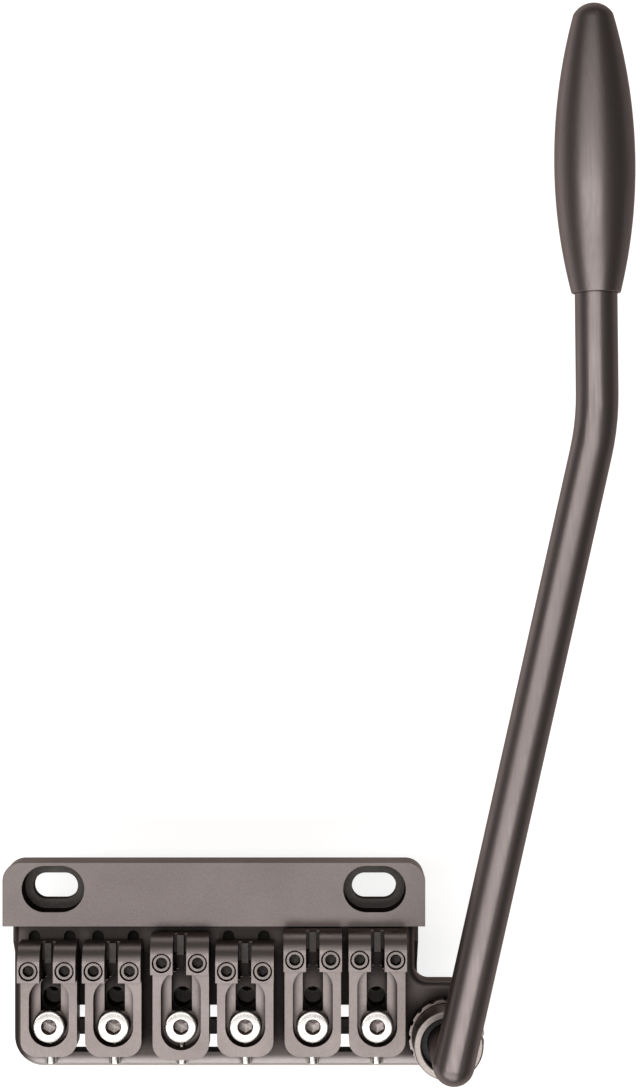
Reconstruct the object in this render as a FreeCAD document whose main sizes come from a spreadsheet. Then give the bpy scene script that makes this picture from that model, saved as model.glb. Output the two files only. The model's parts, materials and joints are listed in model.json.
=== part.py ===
import FreeCAD, Part
import Sketcher
import math
import os
from types import SimpleNamespace

# Guitar tremolo bridge with its arm, in millimetres.
# The origin is midway between the two mounting slots, on the guitar's top.
# +X runs to the treble side, +Y to the neck and +Z up.

SIZES = {
    # Fixed flange
    "flange_width": 68.1,
    "flange_front": 4.3,
    "flange_rear": 6.03,
    "flange_height": 6.6,
    "flange_corner": 3.0,
    "lip_thickness": 1.3,
    "lip_overhang": 0.63,
    "slot_spacing": 51.8,
    "slot_length": 7.2,
    "slot_width": 4.2,
    "counterbore_length": 10.0,
    "counterbore_width": 7.4,
    "counterbore_depth": 4.3,
    # Hinge
    "pivot_back": 3.9,
    "pivot_height": 2.5,
    "axle_diameter": 2.4,
    "axle_length": 36.0,
    "knuckle_radius": 2.4,
    "knuckle_width": 25.4,
    "bush_diameter": 3.6,
    "bush_length": 8.0,
    "running_fit": 0.03,
    "fit_gap": 0.1,
    "moving_gap": 0.3,
    "axle_block_width": 7.5,
    "axle_block_rear": 5.45,
    "axle_block_foot": 4.2,
    "axle_block_foot_height": 2.1,
    "axle_block_screw_diameter": 2.5,
    "axle_block_screw_head": 4.0,
    "axle_block_screw_grip": 3.0,
    # Side rails and spring bar
    "rail_width": 3.0,
    "rail_inset": 0.85,
    "rail_foot_front": 2.9,
    "rail_foot_depth": 3.4,
    "rail_seat": 0.4,
    "rail_drop": 5.5,
    "rail_bottom": 14.0,
    "rail_rear": 27.0,
    "rail_front": 6.2,
    "rail_shoulder_back": 9.5,
    "rail_shoulder_drop": 0.6,
    "rail_slope_back": 14.0,
    "rail_screw_diameter": 2.0,
    "rail_screw_head": 3.4,
    "rail_screw_head_height": 1.4,
    "rail_screw_grip": 4.0,
    "rail_screw_back": 4.15,
    "bar_front": 22.6,
    "bar_depth": 3.0,
    "bar_top": 5.0,
    "bar_height": 9.0,
    "bar_notch_width": 8.4,
    "bar_bridge_height": 2.0,
    "bar_bridge_setback": 0.5,
    "bar_screw_diameter": 2.5,
    "bar_screw_head": 3.8,
    "bar_screw_head_height": 1.2,
    "bar_screw_grip": 4.4,
    "bar_screw_spread": 3.6,
    "bar_screw_drop": 5.2,
    # Springs
    "spring_drop": 7.4,
    "spring_diameter": 6.2,
    "spring_wire": 1.1,
    "spring_turns": 4.5,
    "spring_well_clearance": 0.3,
    "spring_well_depth": 6.7,
    "spring_well_drop": 2.8,
    "spring_seat_gap": 0.02,
    "cup_thickness": 1.0,
    "cup_pin_diameter": 3.2,
    "cup_pin_length": 1.5,
    "tension_screw_diameter": 4.0,
    "tension_screw_tail": 3.5,
    "tension_screw_slot": 0.8,
    "tension_screw_slot_depth": 1.2,
    # Moving plate
    "plate_width": 64.8,
    "plate_front": 6.2,
    "plate_rear": 29.0,
    "plate_bottom": 0.4,
    "plate_thickness": 4.2,
    "plate_corner": 4.8,
    "plate_rim_round": 1.2,
    "ear_front": 15.2,
    "ear_fillet": 2.4,
    "ear_front_corner": 5.0,
    "ear_rear_corner": 5.5,
    "ear_margin": 5.65,
    "window_width": 5.0,
    "window_front": 19.0,
    "window_rear": 26.6,
    "window_corner": 1.0,
    "groove_width": 1.9,
    "groove_depth": 1.5,
    "groove_front": 7.9,
    "groove_rear": 14.3,
    # Strings
    "pair_pitch": 21.1,
    "saddle_pitch": 10.3,
    "string_back": 16.4,
    "string_hole_diameter": 2.0,
    "string_mouth_width": 2.9,
    "string_mouth_front": 16.0,
    "string_mouth_rear": 19.3,
    "ball_end_diameter": 4.0,
    "ball_end_depth": 2.8,
    # String block
    "block_side_gap": 1.4,
    "block_front": 9.6,
    "block_rear": 19.7,
    "block_bottom": 15.0,
    "block_chamfer": 1.2,
    "block_screw_back": 13.3,
    "block_screw_diameter": 3.0,
    "block_screw_head": 5.5,
    "block_screw_head_height": 3.0,
    "block_screw_grip": 4.4,
    "block_screw_reach": 3.1,
    # Saddles
    "saddle_lift": 0.1,
    "saddle_width": 9.0,
    "saddle_height": 5.0,
    "saddle_tail": 4.76,
    "saddle_corner": 2.5,
    "recess_width": 6.4,
    "recess_floor": 2.0,
    "clamp_slot_width": 3.3,
    "nose_width": 9.24,
    "nose_height": 9.0,
    "nose_rear": 1.83,
    "nose_front": 4.1,
    "nose_round": 3.5,
    "nose_undercut_front": 1.9,
    "nose_undercut_height": 2.6,
    "short_nose_reach": 9.55,
    "long_nose_reach": 11.35,
    "third_saddle_setback": 0.5,
    "string_slot_width": 2.18,
    "crest_drop": 2.9,
    "crest_rear": 0.9,
    "crest_step": 0.9,
    "crest_width": 1.05,
    "crest_side_depth": 1.6,
    # Saddle screws
    "clamp_back": 21.64,
    "clamp_screw_diameter": 3.0,
    "clamp_head_diameter": 5.5,
    "clamp_head_height": 2.7,
    "clamp_head_gap": 0.3,
    "clamp_key_size": 2.5,
    "clamp_key_depth": 1.8,
    "clamp_screw_reach": 4.0,
    "height_screw_spread": 5.7,
    "height_screw_diameter": 3.0,
    "height_screw_sink": 0.25,
    "height_screw_point": 1.6,
    "height_screw_point_length": 2.2,
    "height_key_size": 1.5,
    "height_key_depth": 1.6,
    "intonation_diameter": 2.0,
    "intonation_height": 1.15,
    "intonation_tail_gap": 0.7,
    "intonation_key_size": 1.3,
    "intonation_key_depth": 1.2,
    "thread_gap": 0.04,
    # Arm socket
    "socket_side": 37.45,
    "socket_back": 23.8,
    "socket_diameter": 11.06,
    "socket_bore": 8.6,
    "socket_height": 9.6,
    "socket_spigot_diameter": 10.0,
    "socket_spigot_length": 7.9,
    "bush_recess": 2.5,
    "nut_diameter": 12.4,
    "nut_thickness": 3.0,
    "nut_flats": 11.4,
    "ring_diameter": 12.2,
    "ring_height": 2.4,
    "ring_lift": 0.2,
    "ring_notches": 16,
    "ring_notch_diameter": 1.1,
    # Arm
    "arm_diameter": 6.35,
    "arm_elbow_height": 28.8,
    "arm_run": 99.87,
    "arm_lean": 12.15,
    "arm_rise": 4.71,
    "arm_bend_radius": 38.0,
    "arm_end_run": 31.0,
    "arm_end_lean": 0.6,
    "arm_leg_below_bush": 1.6,
    "clip_groove_diameter": 5.4,
    "clip_diameter": 8.0,
    "clip_thickness": 0.8,
    "clip_gap": 0.3,
    "clip_opening": 4.2,
    # Arm tip
    "tip_start": 19.4,
    "tip_length": 43.2,
    "tip_widest": 12.05,
    "tip_widest_at": 19.2,
    "tip_base_wall": 0.47,
    "tip_shoulder_diameter": 5.95,
    "tip_dome_height": 1.7,
}

STRING_NAMES = ("1", "2", "3", "4", "5", "6")
LONG_NOSED = ("3", "5", "6")
SET_BACK = ("3",)
SIDES = {"left": -1, "right": 1}
PAIRS = (-1, 0, 1)
TOLERANCE = 0.001

doc = FreeCAD.newDocument("tremolo_bridge")
sheet = doc.addObject("Spreadsheet::Sheet", "Sizes")
for row, (alias, amount) in enumerate(SIZES.items(), start=1):
    sheet.set(f"A{row}", alias)
    sheet.set(f"B{row}", str(amount))
    sheet.setAlias(f"B{row}", alias)
doc.recompute()

subparts = []


class Size:
    """An amount and the sheet formula that gives it."""

    def __init__(self, value, formula):
        self.value = value
        self.formula = formula

    def __add__(self, other):
        other = as_size(other)
        return Size(self.value + other.value, f"({self.formula} + {other.formula})")

    def __sub__(self, other):
        other = as_size(other)
        return Size(self.value - other.value, f"({self.formula} - {other.formula})")

    def __mul__(self, other):
        other = as_size(other)
        return Size(self.value * other.value, f"({self.formula} * {other.formula})")

    def __truediv__(self, other):
        other = as_size(other)
        return Size(self.value / other.value, f"({self.formula} / {other.formula})")

    def __radd__(self, other):
        return as_size(other) + self

    def __rsub__(self, other):
        return as_size(other) - self

    def __rmul__(self, other):
        return as_size(other) * self

    def __neg__(self):
        return Size(-self.value, f"(0 - {self.formula})")


def as_size(amount):
    return amount if isinstance(amount, Size) else Size(float(amount), repr(float(amount)))


dim = SimpleNamespace(**{alias: Size(amount, f"Sizes.{alias}") for alias, amount in SIZES.items()})
ORIGIN = (as_size(0), as_size(0))


def bind(item, prop, amount):
    item.setExpression(prop, as_size(amount).formula)


def move(item, x=0, y=0, z=0):
    for axis, amount in (("x", x), ("y", y), ("z", z)):
        bind(item, f"Placement.Base.{axis}", amount)


def keep(item, name):
    """Makes an object one of the sub-parts, under its own name."""
    item.Label = name
    subparts.append(item)
    return item


# Part primitives and booleans

AXIS_TURNS = {
    "x": FreeCAD.Rotation(FreeCAD.Vector(0, 1, 0), 90),
    "y": FreeCAD.Rotation(FreeCAD.Vector(1, 0, 0), -90),
    "z": FreeCAD.Rotation(),
}


def block(name, x, y, z):
    """A box between a low and a high place along each axis."""
    item = doc.addObject("Part::Box", name)
    for prop, axis, (low, high) in (("Length", "x", x), ("Width", "y", y), ("Height", "z", z)):
        bind(item, prop, as_size(high) - low)
        bind(item, f"Placement.Base.{axis}", low)
    return item


def rod(name, diameter, length, start, axis="z"):
    """A cylinder from its start point along +X, +Y or +Z."""
    item = doc.addObject("Part::Cylinder", name)
    item.Placement = FreeCAD.Placement(FreeCAD.Vector(), AXIS_TURNS[axis])
    bind(item, "Radius", diameter / 2)
    bind(item, "Height", length)
    move(item, *start)
    return item


def taper(name, low_diameter, high_diameter, length, start):
    """A cone along +Z."""
    item = doc.addObject("Part::Cone", name)
    bind(item, "Radius1", low_diameter / 2)
    bind(item, "Radius2", high_diameter / 2)
    bind(item, "Height", length)
    move(item, *start)
    return item


def hexagon(name, flats, length, start, axis="z"):
    """A six-sided prism of a width across flats."""
    item = doc.addObject("Part::Prism", name)
    item.Polygon = 6
    item.Placement = FreeCAD.Placement(FreeCAD.Vector(), AXIS_TURNS[axis])
    bind(item, "Circumradius", flats / math.sqrt(3))
    bind(item, "Height", length)
    move(item, *start)
    return item


def join(name, *pieces):
    item = doc.addObject("Part::MultiFuse", name)
    item.Shapes = list(pieces)
    item.Refine = True
    return item


def cut(name, base, *tools):
    item = doc.addObject("Part::Cut", name)
    item.Base = base
    item.Tool = tools[0] if len(tools) == 1 else join(f"{name}_tools", *tools)
    return item


def group(name, *solids):
    item = doc.addObject("Part::Compound", name)
    item.Links = list(solids)
    return item


# Sketches and part design features


def sketch_on(body, role, name, offset=0):
    """A sketch on one of the body's own origin planes, moved along that plane's normal."""
    sketch = body.newObject("Sketcher::SketchObject", f"{body.Name}_{name}")
    plane = [feature for feature in body.Origin.OriginFeatures if feature.Role == role][0]
    sketch.AttachmentSupport = [(plane, "")]
    sketch.MapMode = "FlatFace"
    bind(sketch, "AttachmentOffset.Base.z", offset)
    return sketch


def hold(sketch, kind, amount, *points):
    index = sketch.addConstraint(Sketcher.Constraint(kind, *points, amount.value))
    sketch.setExpression(f"Constraints[{index}]", amount.formula)


def hold_point(sketch, geometry, point, across, up):
    hold(sketch, "DistanceX", as_size(across), -1, 1, geometry, point)
    hold(sketch, "DistanceY", as_size(up), -1, 1, geometry, point)


def vector(across, up):
    return FreeCAD.Vector(as_size(across).value, as_size(up).value, 0)


def arc_between(centre, radius, start, end, turns_left):
    """An arc from start to end, and which of its ends is its start and which its end."""
    circle = Part.Circle(centre, FreeCAD.Vector(0, 0, 1), radius)
    first, last = (start, end) if turns_left else (end, start)
    arc = Part.ArcOfCircle(circle, circle.parameter(first), circle.parameter(last))
    return arc, (1, 2) if turns_left else (2, 1)


def draw_outline(sketch, corners):
    """A closed outline through (across, up, radius) corners. Sides at a rounded corner are square."""
    count = len(corners)
    points = [vector(across, up) for across, up, radius in corners]
    ways = [(points[(i + 1) % count] - points[i]).normalize() for i in range(count)]
    radii = [as_size(radius) for across, up, radius in corners]
    starts = [points[i] + ways[i] * radii[i].value for i in range(count)]
    ends = [points[(i + 1) % count] - ways[i] * radii[(i + 1) % count].value for i in range(count)]
    lines = [sketch.addGeometry(Part.LineSegment(starts[i], ends[i]), False) for i in range(count)]
    for i, (across, up, radius) in enumerate(corners):
        before, after = lines[i - 1], lines[i]
        if radii[i].value == 0:
            sketch.addConstraint(Sketcher.Constraint("Coincident", before, 2, after, 1))
            hold_point(sketch, after, 1, across, up)
            continue
        turn = ways[i] - ways[i - 1]
        centre = points[i] + turn * radii[i].value
        turns_left = ways[i - 1].cross(ways[i]).z > 0
        arc, (first, last) = arc_between(centre, radii[i].value, ends[i - 1], starts[i], turns_left)
        bend = sketch.addGeometry(arc, False)
        hold_point(sketch, bend, 3, across + radii[i] * round(turn.x), up + radii[i] * round(turn.y))
        hold(sketch, "Radius", radii[i], bend)
        sketch.addConstraint(Sketcher.Constraint("Tangent", before, 2, bend, first))
        sketch.addConstraint(Sketcher.Constraint("Tangent", bend, last, after, 1))


def draw_circle(sketch, across, up, diameter):
    radius = diameter / 2
    circle = Part.Circle(vector(across, up), FreeCAD.Vector(0, 0, 1), radius.value)
    index = sketch.addGeometry(circle, False)
    hold_point(sketch, index, 3, across, up)
    hold(sketch, "Radius", radius, index)


def draw_slot(sketch, start, end, width):
    """A round-ended slot between two centres that share a line along a sketch axis."""
    radius = width / 2
    centres = (vector(*start), vector(*end))
    along = (centres[1] - centres[0]).normalize()
    left = FreeCAD.Vector(-along.y, along.x, 0) * radius.value
    rims = [(centre - left, centre + left) for centre in centres]
    right_side = sketch.addGeometry(Part.LineSegment(rims[0][0], rims[1][0]), False)
    left_side = sketch.addGeometry(Part.LineSegment(rims[1][1], rims[0][1]), False)
    far, _ = arc_between(centres[1], radius.value, rims[1][0], rims[1][1], True)
    near, _ = arc_between(centres[0], radius.value, rims[0][1], rims[0][0], True)
    far_end = sketch.addGeometry(far, False)
    near_end = sketch.addGeometry(near, False)
    for bend, centre in ((far_end, end), (near_end, start)):
        hold_point(sketch, bend, 3, *centre)
        hold(sketch, "Radius", radius, bend)
    for one, its_point, other, other_point in (
        (right_side, 2, far_end, 1),
        (far_end, 2, left_side, 1),
        (left_side, 2, near_end, 1),
        (near_end, 2, right_side, 1),
    ):
        sketch.addConstraint(Sketcher.Constraint("Tangent", one, its_point, other, other_point))


def pad(body, sketch, length, symmetric=False):
    feature = body.newObject("PartDesign::Pad", f"{sketch.Name}_pad")
    feature.Profile = sketch
    feature.SideType = "Symmetric" if symmetric else "One side"
    bind(feature, "Length", length)
    return feature


def pocket(body, sketch, length=None, symmetric=False, upwards=False):
    """Cuts against the sketch's normal, along it with upwards, or through everything with no length."""
    feature = body.newObject("PartDesign::Pocket", f"{sketch.Name}_pocket")
    feature.Profile = sketch
    feature.SideType = "Symmetric" if symmetric else "One side"
    feature.Reversed = upwards
    if length is None:
        feature.Type = "ThroughAll"
    else:
        bind(feature, "Length", length)
    return feature


# Places that several pieces share

pivot_y = -dim.pivot_back
pivot_z = dim.pivot_height
flange_half = dim.flange_width / 2
lip_under = dim.flange_height - dim.lip_thickness
knuckle_half = dim.knuckle_width / 2
axle_block_inner = knuckle_half + dim.moving_gap
axle_block_outer = axle_block_inner + dim.axle_block_width
channel_front = pivot_y + dim.knuckle_radius + dim.moving_gap
axle_block_front = channel_front - dim.fit_gap
axle_block_screw_x = (axle_block_inner + axle_block_outer) / 2
axle_block_screw_y = axle_block_front + dim.axle_block_foot / 2
plate_top = dim.plate_bottom + dim.plate_thickness
plate_half = dim.plate_width / 2
rail_outer = flange_half - dim.rail_inset
rail_inner = rail_outer - dim.rail_width
rail_middle = (rail_outer + rail_inner) / 2
rail_foot_bottom = dim.rail_seat - dim.rail_foot_depth
bar_rear = dim.bar_front + dim.bar_depth
bar_middle_y = -dim.bar_front - dim.bar_depth / 2
spring_side = dim.pair_pitch / 2
spring_floor_y = -dim.block_rear + dim.spring_well_depth
cup_rear_y = -dim.bar_front + dim.fit_gap
cup_front_y = cup_rear_y + dim.cup_thickness
saddle_under = plate_top + dim.saddle_lift
nose_top = saddle_under + dim.nose_height
recess_floor_z = saddle_under + dim.recess_floor
clamp_y = -dim.clamp_back
clamp_head_z = recess_floor_z + dim.clamp_head_gap
intonation_z = saddle_under + dim.intonation_height
socket_x = dim.socket_side
socket_y = -dim.socket_back
socket_foot = plate_top - dim.socket_spigot_length
arm_foot = socket_foot - dim.arm_leg_below_bush

string_places = {
    name: dim.pair_pitch * (number // 2 - 1) + dim.saddle_pitch * (number % 2 - 0.5)
    for number, name in enumerate(STRING_NAMES)
}
saddle_setbacks = {name: dim.third_saddle_setback if name in SET_BACK else as_size(0) for name in STRING_NAMES}
nose_reaches = {
    name: dim.long_nose_reach if name in LONG_NOSED else dim.short_nose_reach for name in STRING_NAMES
}


def make_mounting_flange():
    body = doc.addObject("PartDesign::Body", "mounting_flange")
    front, rear = dim.flange_front, -dim.flange_rear
    outline = sketch_on(body, "XY_Plane", "outline")
    draw_outline(
        outline,
        [
            (-flange_half, rear, 0),
            (flange_half, rear, 0),
            (flange_half, front, dim.flange_corner),
            (-flange_half, front, dim.flange_corner),
        ],
    )
    pad(body, outline, dim.flange_height)
    # Under the lip, a full width relief, and the channel for the knuckle and the axle blocks
    channel = axle_block_outer + dim.fit_gap
    relief = rear + dim.lip_overhang
    under_lip = sketch_on(body, "XY_Plane", "under_lip", lip_under)
    past = flange_half + dim.moving_gap
    draw_outline(
        under_lip,
        [
            (-past, rear - dim.moving_gap, 0),
            (past, rear - dim.moving_gap, 0),
            (past, relief, 0),
            (channel, relief, 0),
            (channel, channel_front, 0),
            (-channel, channel_front, 0),
            (-channel, relief, 0),
            (-past, relief, 0),
        ],
    )
    pocket(body, under_lip)
    feet = sketch_on(body, "XY_Plane", "feet", dim.axle_block_foot_height + dim.fit_gap * 2)
    foot_front = axle_block_front + dim.axle_block_foot + dim.fit_gap
    for side in SIDES.values():
        ends = (axle_block_inner - dim.fit_gap, channel)
        low, high = sorted((side * ends[0], side * ends[1]), key=lambda end: end.value)
        draw_outline(
            feet,
            [
                (low, channel_front - dim.fit_gap, 0),
                (high, channel_front - dim.fit_gap, 0),
                (high, foot_front, 0),
                (low, foot_front, 0),
            ],
        )
    pocket(body, feet)
    # Seats for the rails, just above the guitar's top
    seats = sketch_on(body, "XY_Plane", "seats", dim.rail_seat)
    seat_inner = rail_inner - dim.fit_gap * 2
    for side in SIDES.values():
        low, high = sorted((side * seat_inner, side * past), key=lambda end: end.value)
        draw_outline(
            seats,
            [
                (low, relief - dim.moving_gap, 0),
                (high, relief - dim.moving_gap, 0),
                (high, -dim.rail_foot_front, 0),
                (low, -dim.rail_foot_front, 0),
            ],
        )
    pocket(body, seats)
    # Counterbored slots
    counterbores = sketch_on(body, "XY_Plane", "counterbores", dim.flange_height)
    slots = sketch_on(body, "XY_Plane", "slots", dim.flange_height)
    for side in SIDES.values():
        middle = dim.slot_spacing * (side / 2)
        for sketch, length, width in (
            (counterbores, dim.counterbore_length, dim.counterbore_width),
            (slots, dim.slot_length, dim.slot_width),
        ):
            reach = (length - width) / 2
            draw_slot(sketch, (middle - reach, as_size(0)), (middle + reach, as_size(0)), width)
    pocket(body, counterbores, dim.counterbore_depth)
    pocket(body, slots)
    # Screw holes from below
    rail_holes = sketch_on(body, "XY_Plane", "rail_holes")
    block_holes = sketch_on(body, "XY_Plane", "block_holes")
    for side in SIDES.values():
        draw_circle(rail_holes, side * rail_middle, -dim.rail_screw_back, dim.rail_screw_diameter)
        draw_circle(block_holes, side * axle_block_screw_x, axle_block_screw_y, dim.axle_block_screw_diameter)
    pocket(body, rail_holes, dim.rail_seat + dim.rail_screw_grip + dim.fit_gap, upwards=True)
    block_grip = dim.axle_block_foot_height + dim.axle_block_screw_grip
    pocket(body, block_holes, block_grip + dim.fit_gap * 2, upwards=True)
    keep(body, "mounting_flange")


def make_axle_blocks():
    for name, side in SIDES.items():
        low, high = sorted((side * axle_block_inner, side * axle_block_outer), key=lambda end: end.value)
        base_z = dim.fit_gap
        housing = block(
            f"axle_housing_{name}",
            (low, high),
            (-dim.axle_block_rear, axle_block_front),
            (base_z, lip_under - dim.fit_gap),
        )
        foot = block(
            f"axle_foot_{name}",
            (low, high),
            (-dim.axle_block_rear, axle_block_front + dim.axle_block_foot),
            (base_z, base_z + dim.axle_block_foot_height),
        )
        solid = join(f"axle_block_solid_{name}", housing, foot)
        bore = rod(f"axle_bore_{name}", dim.axle_diameter, dim.axle_length, axle_start(), axis="x")
        screw_place = (side * axle_block_screw_x, axle_block_screw_y, as_size(0))
        hole = rod(
            f"axle_block_hole_{name}",
            dim.axle_block_screw_diameter,
            dim.axle_block_foot_height + dim.moving_gap,
            screw_place,
        )
        sink = axle_block_screw_head(f"axle_block_sink_{name}", screw_place)
        keep(cut(f"axle_block_{name}", solid, bore, hole, sink), f"axle_block_{name}")


def axle_start():
    return (-dim.axle_length / 2, pivot_y, pivot_z)


def axle_block_screw_head(name, place):
    x, y, z = place
    depth = (dim.axle_block_screw_head - dim.axle_block_screw_diameter) / 2
    return taper(name, dim.axle_block_screw_head, dim.axle_block_screw_diameter, depth, (x, y, dim.fit_gap))


def make_axle_block_screws():
    screws = []
    for name, side in SIDES.items():
        place = (side * axle_block_screw_x, axle_block_screw_y, dim.fit_gap)
        length = dim.axle_block_foot_height + dim.axle_block_screw_grip
        shank = rod(f"axle_block_shank_{name}", dim.axle_block_screw_diameter, length, place)
        head = axle_block_screw_head(f"axle_block_head_{name}", place)
        screw = join(f"axle_block_screw_{name}", shank, head)
        key = hexagon(f"axle_block_key_{name}", dim.height_key_size, dim.intonation_key_depth, place)
        screws.append(cut(f"axle_block_keyed_{name}", screw, key))
    keep(group("axle_block_screws", *screws), "axle_block_screws")


def make_pivot_axle():
    pin = rod("pivot_axle", dim.axle_diameter, dim.axle_length, axle_start(), axis="x")
    keep(pin, "pivot_axle")


def make_pivot_bushes():
    for name, side in SIDES.items():
        outer_end = side * knuckle_half
        start = outer_end if side < 0 else outer_end - dim.bush_length
        place = (start, pivot_y, pivot_z)
        sleeve = rod(f"bush_sleeve_{name}", dim.bush_diameter, dim.bush_length, place, axis="x")
        bore = rod(
            f"bush_bore_{name}",
            dim.axle_diameter + dim.running_fit * 2,
            dim.bush_length,
            place,
            axis="x",
        )
        keep(cut(f"pivot_bush_{name}", sleeve, bore), f"pivot_bush_{name}")


def make_side_rails():
    for name, side in SIDES.items():
        body = doc.addObject("PartDesign::Body", f"side_rail_{name}")
        profile = sketch_on(body, "YZ_Plane", "profile")
        seat_rear = -dim.flange_rear + dim.lip_overhang
        draw_outline(
            profile,
            [
                (-dim.rail_foot_front, dim.rail_seat, 0),
                (seat_rear, dim.rail_seat, 0),
                (seat_rear, -dim.rail_shoulder_drop, 0),
                (-dim.rail_shoulder_back, -dim.rail_shoulder_drop, 0),
                (-dim.rail_slope_back, -dim.rail_drop, 0),
                (-dim.rail_rear, -dim.rail_drop, 0),
                (-dim.rail_rear, -dim.rail_bottom, 0),
                (-dim.rail_slope_back, -dim.rail_bottom, 0),
                (-dim.rail_front, -dim.rail_drop, 0),
                (-dim.rail_front, rail_foot_bottom, 0),
                (-dim.rail_foot_front, rail_foot_bottom, 0),
            ],
        )
        pad(body, profile, dim.rail_width, symmetric=True)
        foot_hole = sketch_on(body, "XY_Plane", "foot_hole", rail_foot_bottom - dim.fit_gap)
        draw_circle(foot_hole, 0, -dim.rail_screw_back, dim.rail_screw_diameter)
        pocket(body, foot_hole, dim.rail_foot_depth + dim.moving_gap, upwards=True)
        bar_holes = sketch_on(body, "YZ_Plane", "bar_holes")
        for z in bar_screw_heights():
            draw_circle(bar_holes, bar_middle_y, z, dim.bar_screw_diameter)
        pocket(body, bar_holes, dim.rail_width + dim.moving_gap, symmetric=True)
        head_wells = sketch_on(body, "YZ_Plane", "head_wells", dim.rail_width * (side / 2))
        for z in bar_screw_heights():
            draw_circle(head_wells, bar_middle_y, z, dim.bar_screw_head)
        pocket(body, head_wells, dim.bar_screw_head_height, upwards=side < 0)
        move(body, side * rail_middle)
        keep(body, f"side_rail_{name}")


def bar_screw_heights():
    middle = -dim.bar_top - dim.bar_screw_drop
    return (middle - dim.bar_screw_spread / 2, middle + dim.bar_screw_spread / 2)


def make_rail_screws():
    screws = []
    for name, side in SIDES.items():
        x, y = side * rail_middle, -dim.rail_screw_back
        length = dim.rail_foot_depth + dim.rail_screw_grip
        shank = rod(f"rail_shank_{name}", dim.rail_screw_diameter, length, (x, y, rail_foot_bottom))
        head_z = rail_foot_bottom - dim.rail_screw_head_height
        head = rod(f"rail_head_{name}", dim.rail_screw_head, dim.rail_screw_head_height, (x, y, head_z))
        key = hexagon(f"rail_key_{name}", dim.height_key_size, dim.rail_screw_head_height / 2, (x, y, head_z))
        screws.append(cut(f"rail_screw_{name}", join(f"rail_bolt_{name}", shank, head), key))
    keep(group("rail_screws", *screws), "rail_screws")


def make_spring_bar():
    bar = block(
        "spring_bar_stock",
        (-rail_inner, rail_inner),
        (-bar_rear, -dim.bar_front),
        (-dim.bar_top - dim.bar_height, -dim.bar_top),
    )
    holes = []
    for name, side in SIDES.items():
        start = (side * spring_side, -bar_rear, -dim.spring_drop)
        holes.append(rod(f"tension_hole_{name}", dim.tension_screw_diameter, dim.bar_depth, start, axis="y"))
        for row, z in enumerate(bar_screw_heights()):
            x = rail_inner - dim.bar_screw_grip if side > 0 else -rail_inner
            place = (x, bar_middle_y, z)
            holes.append(
                rod(f"bar_hole_{name}_{row}", dim.bar_screw_diameter, dim.bar_screw_grip, place, axis="x")
            )
    bridge_z = -dim.bar_top - dim.bar_bridge_height
    for row, pair in enumerate(PAIRS):
        low = dim.pair_pitch * pair - dim.bar_notch_width / 2
        high = dim.pair_pitch * pair + dim.bar_notch_width / 2
        below = (-dim.bar_top - dim.bar_height, bridge_z)
        holes.append(block(f"bar_notch_{row}", (low, high), (-bar_rear, -dim.bar_front), below))
        before = (-dim.bar_front - dim.bar_bridge_setback, -dim.bar_front)
        holes.append(block(f"bar_setback_{row}", (low, high), before, (bridge_z, -dim.bar_top)))
    keep(cut("spring_bar", bar, *holes), "spring_bar")


def make_spring_bar_screws():
    screws = []
    length = dim.rail_width - dim.bar_screw_head_height + dim.bar_screw_grip
    for name, side in SIDES.items():
        for row, z in enumerate(bar_screw_heights()):
            shank_x = rail_inner - dim.bar_screw_grip if side > 0 else -rail_outer + dim.bar_screw_head_height
            head_x = rail_outer - dim.bar_screw_head_height if side > 0 else -rail_outer
            key_x = rail_outer - dim.bar_screw_head_height / 2 if side > 0 else head_x
            tag = f"{name}_{row}"
            shank = rod(f"bar_shank_{tag}", dim.bar_screw_diameter, length, (shank_x, bar_middle_y, z), axis="x")
            head = rod(
                f"bar_head_{tag}",
                dim.bar_screw_head,
                dim.bar_screw_head_height,
                (head_x, bar_middle_y, z),
                axis="x",
            )
            key = hexagon(
                f"bar_key_{tag}",
                dim.height_key_size,
                dim.bar_screw_head_height / 2,
                (key_x, bar_middle_y, z),
                axis="x",
            )
            screws.append(cut(f"bar_screw_{tag}", join(f"bar_bolt_{tag}", shank, head), key))
    keep(group("spring_bar_screws", *screws), "spring_bar_screws")


def make_spring_tension_screws():
    screws = []
    tail_y = -bar_rear - dim.tension_screw_tail
    for name, side in SIDES.items():
        x, z = side * spring_side, -dim.spring_drop
        length = cup_rear_y - tail_y
        shank = rod(f"tension_shank_{name}", dim.tension_screw_diameter, length, (x, tail_y, z), axis="y")
        half_slot = dim.tension_screw_slot / 2
        driver_slot = block(
            f"tension_slot_{name}",
            (x - dim.tension_screw_diameter, x + dim.tension_screw_diameter),
            (tail_y, tail_y + dim.tension_screw_slot_depth),
            (z - half_slot, z + half_slot),
        )
        screws.append(cut(f"tension_screw_{name}", shank, driver_slot))
    keep(group("spring_tension_screws", *screws), "spring_tension_screws")


def make_spring_cups():
    cups = []
    for name, side in SIDES.items():
        x, z = side * spring_side, -dim.spring_drop
        disc = rod(f"cup_disc_{name}", dim.spring_diameter, dim.cup_thickness, (x, cup_rear_y, z), axis="y")
        pin = rod(
            f"cup_pin_{name}",
            dim.cup_pin_diameter,
            dim.cup_thickness + dim.cup_pin_length,
            (x, cup_rear_y, z),
            axis="y",
        )
        cups.append(join(f"spring_cup_{name}", disc, pin))
    keep(group("spring_cups", *cups), "spring_cups")


def arc_through(start, way, end):
    """The arc that leaves start along way and reaches end."""
    chord = end - start
    along = FreeCAD.Vector(chord).normalize()
    side = way - along * way.dot(along)
    bulge = math.tan(way.getAngle(chord) / 2) * chord.Length / 2
    middle = start + chord * 0.5 + side.normalize() * bulge
    return Part.Arc(start, middle, end)


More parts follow.
